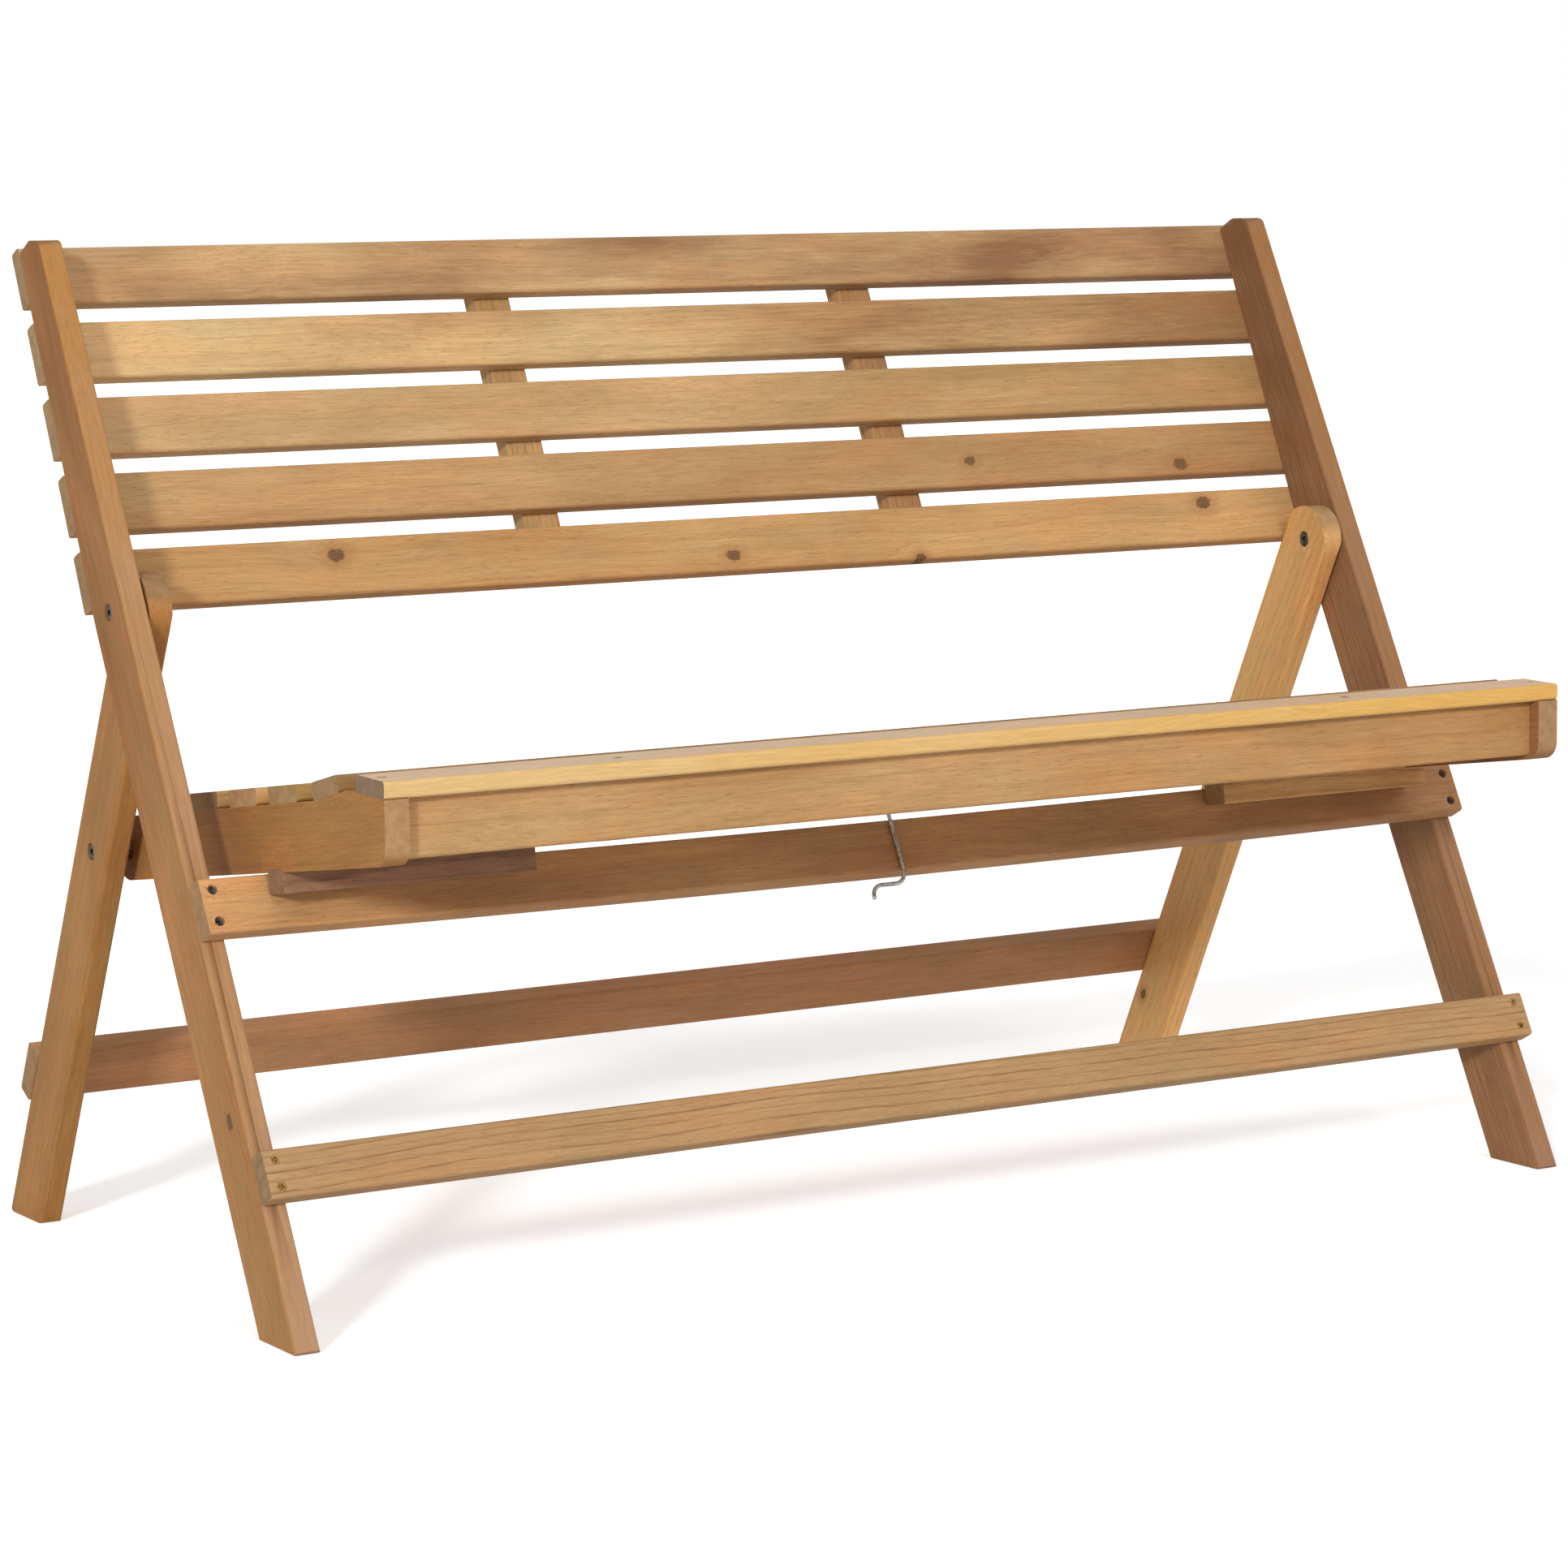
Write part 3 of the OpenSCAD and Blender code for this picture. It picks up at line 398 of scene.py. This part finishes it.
def acacia(name, middle, turn, heart, light, dark, line="#6f4a2c", sap="#ddb15c", ring=6.0, depth=0.2,
           late=0.45, end=0.78, cloud=0.35, drift=0.0, sap_radius=900.0, seed=1.0, knots=()):
    """Oiled acacia, planed and sanded fine, with one thin coat of oil: satin, with open pores.

    middle is the origin of u, v and w in metres, and turn is in degrees about X, then Y, then Z.
    heart is (v, w) and each knot (u, v, radius), in mm, as are the ring's width and the sapwood's radius.
    """
    material, tree = plain_material(name)
    angles = [math.radians(angle) for angle in turn]
    turning = Matrix.Identity(3)
    for angle, axis in zip(angles, "XYZ"):
        turning = Matrix.Rotation(angle, 3, axis) @ turning
    seen = add(tree, "TexCoord").outputs
    place = add(tree, "Mapping", {"Vector": seen["Object"], "Location": -(turning @ (Vector(middle) * MM)),
                                  "Rotation": angles, "Scale": (MM, MM, MM)})
    facing = add(tree, "Mapping", {"Vector": seen["Normal"], "Rotation": angles}, vector_type="VECTOR")
    marks = []
    for u, v, size in knots:
        place = add(tree, "Group", {"Place": place, "Middle": (u, v, 0), "Radius": size}, node_tree=knot)
        marks.append(place)
    wood = add(tree, "Group", {"Place": place, "Facing": facing, "Heart": (0, *heart), "Ring width": ring,
                               "Ring depth": depth, "Late": late, "End": end, "Seed": seed, "Drift": drift,
                               "Cloud": cloud, "Sap radius": sap_radius, "Light": linear(light),
                               "Dark": linear(dark), "Line": linear(line), "Sap": linear(sap)},
               node_tree=figure)
    colour = wood.outputs["Color"]
    for mark in marks:
        disc = times(tree, linear(KNOT_CORE), mark.outputs["Shade"])
        haloed = blend(tree, mark.outputs["Halo"], colour, linear(KNOT_HALO))
        colour = blend(tree, mark.outputs["Core"], haloed, disc)
    bump = add(tree, "Bump", {"Height": wood.outputs["Height"], "Strength": BUMP, "Distance": BUMP_DEPTH})
    shader = add(tree, "BsdfPrincipled", {"Base Color": colour, "Roughness": wood.outputs["Roughness"],
                                          "Normal": bump, "IOR": OIL_IOR, "Specular IOR Level": OIL_SHINE})
    add(tree, "OutputMaterial", {"Surface": shader})
    return material


def paint(node, material):
    """Gives every material slot of a CAD node that material."""
    for slot in nodes[node].material_slots:
        slot.link = "OBJECT"
        slot.material = material


def middle_of(node):
    """The middle of a node's box, in metres. A leaning board's own middle can be a few cm from it."""
    low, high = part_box(node)
    return [(a + b) / 2 for a, b in zip(low, high)]


def timber(boards):
    """Paints each board with acacia of its own."""
    for node, look in boards.items():
        paint(node, acacia("oiled_acacia_" + node, middle_of(node), **look))
    print("boards:", *boards)


# %% [markdown]
# ## Which plank each board was cut from
# No two boards of the bench match. The back slats are honey-coloured and smooth, and
# the two upper ones darken to the sitter's left. The lower stretcher is striped, the
# post on that side is reddish, and the front slat of the seat has a yellow edge.
# Some colours also hold painted light: the pale top of the front seat slat is partly a
# painted sheen, and the crossbar, the right rear leg and the right cleat are coloured
# lighter than their wood, as painted light in the shade that falls on them.

# %% The boards of the front frame
timber({
    "back_slat_1": dict(turn=CROSS_BACK, heart=(20, -46), light="#d1a87a", dark="#906849", drift=0.45,
                        cloud=0.50, ring=8.0, depth=0.18, seed=3.1),
    "back_slat_2": dict(turn=CROSS_BACK, heart=(-70, -80), light="#dcb684", dark="#9f744e", drift=0.7,
                        cloud=0.40, ring=7.0, depth=0.13, seed=6.4),
    "back_slat_3": dict(turn=CROSS_BACK, heart=(60, -90), light="#d2ab7e", dark="#b2895b", drift=0.80,
                        cloud=0.45, ring=6.0, depth=0.14, seed=8.3),
    "back_slat_4": dict(turn=CROSS_BACK, heart=(-30, -60), light="#cba171", dark="#a87c53", drift=0.55,
                        cloud=0.35, ring=7.5, depth=0.18, seed=11.9, knots=((245, -1, 4.5), (468, -14, 6.0))),
    "back_slat_5": dict(turn=CROSS_BACK, heart=(35, -55), light="#d4a774", dark="#b48757", drift=-0.1,
                        cloud=0.40, ring=7.0, depth=0.20, seed=14.2,
                        knots=((-381, 9, 6.0), (-14, -11, 5.4), (171, -23, 4.0), (482, 13, 6.2))),
    "post_left": dict(turn=POST, heart=(90, 10), light="#c08d59", dark="#976236", drift=1.0, cloud=0.35,
                      ring=7.0, depth=0.24, seed=17.5, sap_radius=107.5, sap="#b99170",
                      knots=((-280, 4, 5.0),)),
    "post_right": dict(turn=POST, heart=(90, 10), light="#ac805a", dark="#7d573e", drift=0.40, cloud=0.30,
                       ring=5.0, depth=0.60, late=0.6, seed=20.4, line="#4f3322", sap_radius=107.5,
                       sap="#a07a5f"),
    # Partly painted light: the crossbar lies in the seat's shade for most of its length and is coloured
    # lighter than its wood.
    "front_crossbar": dict(turn=CROSS_POST, heart=(-50, -70), light="#dfaa75", dark="#aa7a56", drift=0.4,
                           cloud=0.40, ring=8.0, depth=0.18, seed=23.3),
    "lower_stretcher": dict(turn=CROSS_POST, heart=(90, -14), light="#c49e75", dark="#ad8459", drift=0.2,
                            cloud=0.25, ring=6.2, depth=0.80, late=0.66, seed=26.8, line="#85603f"),
    "back_batten_left": dict(turn=BATTEN, heart=(15, 60), light="#d2a875", dark="#a17b51", ring=5.0,
                             depth=0.4, seed=29.0),
    "back_batten_right": dict(turn=BATTEN, heart=(-25, 50), light="#c8996b", dark="#996f4a", ring=5.5,
                              depth=0.4, seed=31.6),
})

# %% The boards of the rear frame
timber({
    "rear_leg_left": dict(turn=LEG, heart=(40, 60), light="#c18d54", dark="#9b6b3d", drift=-0.3, cloud=0.35,
                          ring=7.0, depth=0.21, seed=34.1),
    # Painted light: this leg is coloured lighter than its wood, more so towards the foot, where shade falls
    # on it.
    "rear_leg_right": dict(turn=LEG, heart=(-55, 45), light="#e7b77a", dark="#d49c65", drift=0.3, cloud=0.30,
                           ring=6.5, depth=0.21, seed=37.7, sap_radius=82.0, sap="#d9a552",
                           knots=((-230, 9, 4.0),)),
    "rear_stretcher": dict(turn=CROSS_LEG, heart=(-30, -75), light="#d1996f", dark="#a37855", drift=0.25,
                           cloud=0.35, ring=7.5, depth=0.17, seed=40.5),
})

# %% The boards of the seat
timber({
    "seat_rail_left": dict(turn=SEAT_RAIL, heart=(50, 65), light="#bf884e", dark="#97683a", end=1.1,
                           cloud=0.35, ring=8.0, depth=0.18, seed=43.2),
    "seat_rail_right": dict(turn=SEAT_RAIL, heart=(-60, 50), light="#b18152", dark="#895d3e", end=1.0,
                            cloud=0.35, ring=7.0, depth=0.21, seed=46.9),
    "seat_mid_rail_left": dict(turn=SEAT_RAIL, heart=(35, 60), light="#c6955f", dark="#9c7046", ring=7.0,
                               seed=49.4),
    "seat_mid_rail_right": dict(turn=SEAT_RAIL, heart=(-45, 70), light="#c2905a", dark="#986b43", ring=6.0,
                                seed=52.8),
    "seat_apron": dict(turn=SEAT_UPRIGHT, heart=(-60, -75), light="#d0a575", dark="#b28151", drift=0.45,
                       cloud=0.35, ring=7.0, depth=0.16, seed=55.3),
    # Partly painted sheen: the pale, pinkish top stands in for its gloss seen at a grazing angle; the yellow
    # edge is sapwood.
    "seat_slat_1": dict(turn=SEAT_FLAT, heart=(70, 0), light="#e8cbb2", dark="#d6b493", end=0.50, drift=0.6,
                        cloud=0.25, ring=7.0, depth=0.17, seed=58.6, sap_radius=90.8, sap="#e3c088"),
    "seat_slat_2": dict(turn=SEAT_FLAT, heart=(-40, -60), light="#a68157", dark="#88633c", end=1.0, ring=6.0,
                        seed=61.1),
    "seat_slat_3": dict(turn=SEAT_FLAT, heart=(30, -70), light="#c3985c", dark="#977144", end=1.0, ring=7.0,
                        seed=64.9),
    "seat_slat_4": dict(turn=SEAT_FLAT, heart=(-50, -50), light="#e3b276", dark="#b88856", end=1.0, ring=6.5,
                        seed=67.4),
    "seat_slat_5": dict(turn=SEAT_FLAT, heart=(45, -60), light="#caa06c", dark="#a87c4c", ring=7.5,
                        seed=70.2),
    "seat_slat_6": dict(turn=SEAT_FLAT, heart=(-35, -75), light="#bd8d5c", dark="#936843", end=1.0, ring=6.0,
                        seed=73.7),
    "seat_cleat_left": dict(turn=SEAT_UPRIGHT, heart=(30, -40), light="#b6896d", dark="#82614f", ring=5.0,
                            depth=0.5, seed=76.3, line="#4a3325"),
    # Painted light: this cleat lies in the seat's shade and is coloured lighter than its wood to make up for
    # it.
    "seat_cleat_right": dict(turn=SEAT_UPRIGHT, heart=(-30, -45), light="#e6b276", dark="#ba8758", ring=5.0,
                             depth=0.45, seed=79.8),
})

# %% [markdown]
# ## The bowed crossbar
# The real crossbar has sagged a little: a thin line of daylight shows between it and
# the apron in the middle of the bench. A copy of the CAD board keeps its screw holes.
# Its long triangles are first cut at even steps, and then every point is lowered by
# a parabola, bow (1 - (x/reach)^2), which is nought at the posts.

# %% Helpers for shapes
SAME = 1e-6      # m, points nearer than this are one


@contextmanager
def opened(mesh):
    """The mesh's cells, for changes in a with block. They go back into the mesh at its end."""
    cells = bmesh.new()
    cells.from_mesh(mesh)
    yield cells
    cells.to_mesh(mesh)
    cells.free()


def all_of(cells):
    """Every point, edge and face of a mesh's cells."""
    return cells.verts[:] + cells.edges[:] + cells.faces[:]


def points_of(mesh):
    """The mesh's points, in metres, one to a row."""
    points = np.empty(len(mesh.vertices) * 3, dtype=np.float32)
    mesh.vertices.foreach_get("co", points)
    return points.reshape(-1, 3)


def copy_of(node, name):
    """A piece with the CAD node's shape and its timber, the loose triangles joined to one skin."""
    mesh = nodes[node].data.copy()
    mesh.name = name
    piece = bpy.data.objects.new(name, mesh)
    bpy.context.scene.collection.objects.link(piece)
    for slot in piece.material_slots:
        slot.material = nodes[node].material_slots[0].material
    with opened(mesh) as cells:
        bmesh.ops.remove_doubles(cells, verts=cells.verts, dist=SAME)
    return piece


# %% Bend a copy of the crossbar
BOW, BOW_REACH = 0.0040, 0.575   # m
BOW_CUTS = 41
POST_LEAN = math.radians(POST_TILT)
UP_THE_POST = np.array((0, math.sin(POST_LEAN), math.cos(POST_LEAN)))

crossbar = copy_of("front_crossbar", "crossbar_bowed")
with opened(crossbar.data) as cells:
    for x in np.linspace(-BOW_REACH, BOW_REACH, BOW_CUTS):
        bmesh.ops.bisect_plane(cells, geom=all_of(cells), plane_co=(x, 0, 0), plane_no=(1, 0, 0),
                               dist=SAME)
points = points_of(crossbar.data)
sag = BOW * np.clip(1 - (points[:, :1] / BOW_REACH) ** 2, 0, None)
crossbar.data.vertices.foreach_set("co", (points - sag * UP_THE_POST).astype(np.float32).ravel())
crossbar.data.update()
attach(crossbar, "front_frame")
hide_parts("front_crossbar")
print("crossbar:", len(points), "points, sag", round(float(sag.max()) * MM, 1), "mm")

# %% [markdown]
# ## The rounded top of each post
# The photograph shows the front corner at the top of a post rounded off. Round a
# corner C between two faces with normals m and n lies a circle of radius R whose
# middle O has (C - O).m = (C - O).n = R. Planes that touch the circle between the two
# faces cut the corner away in thin slices, and each cut is closed with one flat face.

# %% Round the front top corners
CORNER = 0.016              # m, the circle's radius
SLICES = 9
FRONT, CROWN = 180, 110     # degrees, where the two faces' normals point: 0 is back, 90 is up the post
ON_FRONT = 0.0002           # m, points nearer to the front face than this lie on it
POST_SMOOTH = 20            # degrees, sharper edges stay edges
BACK_OF_POST = np.array((0, math.cos(POST_LEAN), -math.sin(POST_LEAN)))


def round_top(node, name):
    """A copy of a post, cut by planes whose normals turn evenly from the front face's to the crown's."""
    piece = copy_of(node, name)
    points = points_of(piece.data)
    up, back = points @ UP_THE_POST, points @ BACK_OF_POST
    corner = np.array((back.min(), up[back < back.min() + ON_FRONT].max()))
    front, crown = math.radians(FRONT), math.radians(CROWN)
    normals = np.array([[math.cos(angle), math.sin(angle)] for angle in (front, crown)])
    middle = np.linalg.solve(normals, normals @ corner - CORNER)
    with opened(piece.data) as cells:
        for angle in np.linspace(front, crown, SLICES + 2)[1:-1]:
            normal = math.cos(angle) * BACK_OF_POST + math.sin(angle) * UP_THE_POST
            touched = middle[0] * BACK_OF_POST + middle[1] * UP_THE_POST + CORNER * normal
            done = bmesh.ops.bisect_plane(cells, geom=all_of(cells), plane_co=touched, plane_no=normal,
                                          clear_outer=True, dist=SAME)
            cut = [cell for cell in done["geom_cut"] if isinstance(cell, bmesh.types.BMEdge)]
            bmesh.ops.holes_fill(cells, edges=[edge for edge in cut if edge.is_boundary], sides=0)
        open_edges = sum(not edge.is_manifold for edge in cells.edges)
        bmesh.ops.recalc_face_normals(cells, faces=cells.faces)
    piece.data.shade_smooth()
    piece.data.set_sharp_from_angle(angle=math.radians(POST_SMOOTH))
    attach(piece, "front_frame")
    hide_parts(node)
    print(name, len(piece.data.polygons), "faces,", open_edges, "open edges,",
          "corner at", np.round(corner * MM, 1), "mm")


round_top("post_left", "post_left_rounded")
round_top("post_right", "post_right_rounded")

# %% [markdown]
# ## Metals
# The bolts are zinc-plated and passivated dark, the screws are steel with a yellow
# passivate, which looks like dull brass, and the hook is bright drawn wire. Each is a
# metal with its base colour for its tint, and fine noise breaks up its gloss.

# %% Three metals
BLOTS = 0.35            # blots of stain in a millimetre
MARK_BUMP = 0.0001      # m, the bump's depth


def metal(name, tint, stain, roughness, spread, mark_size, mark_depth):
    """A metal whose tint goes over to a stain in blots, with marks of mark_size mm in its gloss."""
    material, tree = plain_material(name)
    place = add(tree, "Mapping", {"Vector": add(tree, "TexCoord").outputs["Object"], "Scale": (MM, MM, MM)})
    stains = add(tree, "TexNoise", {"Vector": place, "Scale": BLOTS, "Detail": 4.0})
    marks = add(tree, "TexNoise", {"Vector": place, "Scale": 1 / mark_size, "Detail": 3.0})
    colour = blend(tree, span(tree, stains, (0.42, 0.62), curve="SMOOTHSTEP"), linear(tint), linear(stain))
    rough = span(tree, marks, goal=(roughness - spread, roughness + spread))
    bump = add(tree, "Bump", {"Height": marks, "Strength": mark_depth, "Distance": MARK_BUMP})
    shader = add(tree, "BsdfPrincipled", {"Base Color": colour, "Metallic": 1.0, "Roughness": rough,
                                          "Normal": bump})
    add(tree, "OutputMaterial", {"Surface": shader})
    return material


dark_zinc = metal("dark_passivated_zinc", tint="#6b665f", stain="#4c4844", roughness=0.45, spread=0.12,
                  mark_size=0.5, mark_depth=0.3)
yellow_zinc = metal("yellow_passivated_steel", tint="#b08d55", stain="#8c6c3e", roughness=0.38, spread=0.12,
                    mark_size=0.4, mark_depth=0.3)
bright_wire = metal("bright_drawn_steel_wire", tint="#d2d1cd", stain="#a9a6a0", roughness=0.22, spread=0.08,
                    mark_size=0.6, mark_depth=0.15)
for node in ("frame_pivot_bolts", "frame_pivot_nuts", "frame_pivot_washers", "seat_pivot_bolts",
             "seat_pivot_nuts", "seat_pivot_spacers"):
    paint(node, dark_zinc)
for node in ("latch_eye", "latch_hook"):
    paint(node, bright_wire)
print("metals:", dark_zinc.name, yellow_zinc.name, bright_wire.name)

# %% [markdown]
# ## Screws with a cross recess
# The CAD has each screw as a plain countersunk pin. Seen near, its head has a cross
# for the driver. The screws' places are measured from the CAD node: its triangles fall
# into separate pins, and each pin's longest direction is its axis. One screw is then a
# surface of revolution on a grid of rings and spokes, with the cross pressed into
# its face, and whole arrays of points put one at each place.

# %% Measure the pins of a node
ON_HEAD = 2e-5      # m, points nearer to the head's face than this lie on it


def pins_of(node):
    """Head middle, inward axis and length of each pin.

    Triangles that share a point share a label: it starts as the point's number, and each triangle's lowest
    label spreads over its three points until nothing changes.
    """
    mesh = nodes[node].data
    points = points_of(mesh).astype(float)
    corners = np.empty(len(mesh.loops), dtype=np.int32)
    mesh.loops.foreach_get("vertex_index", corners)
    same = np.unique(np.round(points, 6), axis=0, return_inverse=True)[1].ravel()
    triangles = same[corners].reshape(-1, 3)
    label = np.arange(same.max() + 1)
    while True:
        fresh = label.copy()
        np.minimum.at(fresh, triangles.ravel(), np.repeat(label[triangles].min(axis=1), 3))
        if (fresh == label).all():
            break
        label = fresh
    pins = []
    for group in np.unique(label):
        cloud = points[label[same] == group]
        middle = (cloud.min(axis=0) + cloud.max(axis=0)) / 2
        axis = np.linalg.svd(cloud - cloud.mean(axis=0), full_matrices=False)[2][0]
        run = (cloud - middle) @ axis
        wide = np.linalg.norm(np.cross(cloud - middle, axis), axis=1)
        if run[wide.argmax()] > 0:
            axis, run = -axis, -run
        head = cloud[run < run.min() + ON_HEAD].mean(axis=0)
        pins.append((head, axis, run.max() - run.min()))
    return pins


for node in ("stretcher_screws", "seat_slat_screws"):
    found = pins_of(node)
    print(node, len(found), "pins", np.round(found[0][2] * MM, 1), "mm long")

# %% One screw as a grid
HEAD, SHANK = 4.0, 2.0                               # mm, radii, as in the CAD
RIM_DROP, TIP, TIP_END = 0.12, 1.5, 0.3              # mm, the rim's chamfer, the point and its blunt end
FACE = (0.02, 0.25, 0.5, 0.8, 1.1, 1.5, 1.9, 2.3, 2.7, 3.3, HEAD - 0.15)     # mm, radii of its rings
CROSS_ARM, CROSS_HALF, CROSS_DEEP = 2.3, 0.55, 1.3   # mm, an arm's length, half its width and its depth
CROSS_WALL, CROSS_END = 0.3, 0.5                     # mm, over which the cross's walls and ends go down
TURN_STEP = 0.9                                      # radians from one screw's cross to the next one's
SCREW_SMOOTH = 35                                    # degrees, sharper edges stay edges


def screw_grid(length, spokes=32):
    """Rings of points: out over the face, less the cross, down the cone and along the shank."""
    radius = np.array([*FACE, HEAD, SHANK, SHANK, SHANK * 0.5, 0.02])
    depth = np.array([0] * len(FACE) + [RIM_DROP, HEAD - SHANK, length - TIP, length - TIP_END, length])
    turn = np.arange(spokes) * 2 * np.pi / spokes
    x = radius[:, None] * np.cos(turn)
    y = radius[:, None] * np.sin(turn)
    z = np.repeat(depth[:, None], spokes, axis=1)
    arms = [np.clip((CROSS_HALF + CROSS_WALL / 2 - abs(across)) / CROSS_WALL, 0, 1)
            * np.clip((CROSS_ARM - abs(along)) / CROSS_END, 0, 1) for along, across in ((x, y), (y, x))]
    z[:len(FACE)] += CROSS_DEEP * np.maximum(*arms)[:len(FACE)]
    return np.stack([x, y, z], axis=-1)


def grid_faces(rings, spokes):
    """Quads between each ring and the next, closed round, and one fan-like cap at each end."""
    i, j = np.meshgrid(np.arange(rings - 1), np.arange(spokes), indexing="ij")
    k = (j + 1) % spokes
    here, there = i * spokes, (i + 1) * spokes
    quads = np.stack([here + j, there + j, there + k, here + k], axis=-1)
    caps = [list(range(spokes)), [(rings - 1) * spokes + n for n in reversed(range(spokes))]]
    return quads.reshape(-1, 4).tolist() + caps


def screws(node, material, body):
    """Puts one screw at each pin of a CAD node, each turned differently, as screws are found."""
    name = node + "_crossed"
    pins = pins_of(node)
    points, faces = [], []
    for number, (head, axis, length) in enumerate(pins):
        grid = screw_grid(length * MM) / MM
        across = np.cross(axis, [0.31, 0.85, 0.43])      # any way that no screw points
        across /= np.linalg.norm(across)
        angle = number * TURN_STEP
        a = across * np.cos(angle) + np.cross(axis, across) * np.sin(angle)
        b = np.cross(axis, a)
        start = number * grid[..., 0].size
        faces += [[corner + start for corner in face] for face in grid_faces(*grid.shape[:2])]
        points.append((head + grid[..., :1] * a + grid[..., 1:2] * b + grid[..., 2:] * axis).reshape(-1, 3))
    mesh = bpy.data.meshes.new(name)
    mesh.from_pydata(np.concatenate(points).tolist(), [], faces)
    with opened(mesh) as cells:
        bmesh.ops.recalc_face_normals(cells, faces=cells.faces)
    mesh.shade_smooth()
    mesh.set_sharp_from_angle(angle=math.radians(SCREW_SMOOTH))
    mesh.materials.append(material)
    piece = bpy.data.objects.new(name, mesh)
    bpy.context.scene.collection.objects.link(piece)
    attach(piece, body)
    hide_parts(node)
    print(name, len(pins), "screws")


# %% All the screws
screws("crossbar_screws", dark_zinc, "front_frame")
for node, body in (("stretcher_screws", "front_frame"), ("back_slat_screws", "front_frame"),
                   ("batten_screws", "front_frame"), ("rear_stretcher_screws", "rear_frame"),
                   ("seat_slat_screws", "seat"), ("cleat_screws", "seat")):
    screws(node, yellow_zinc, body)
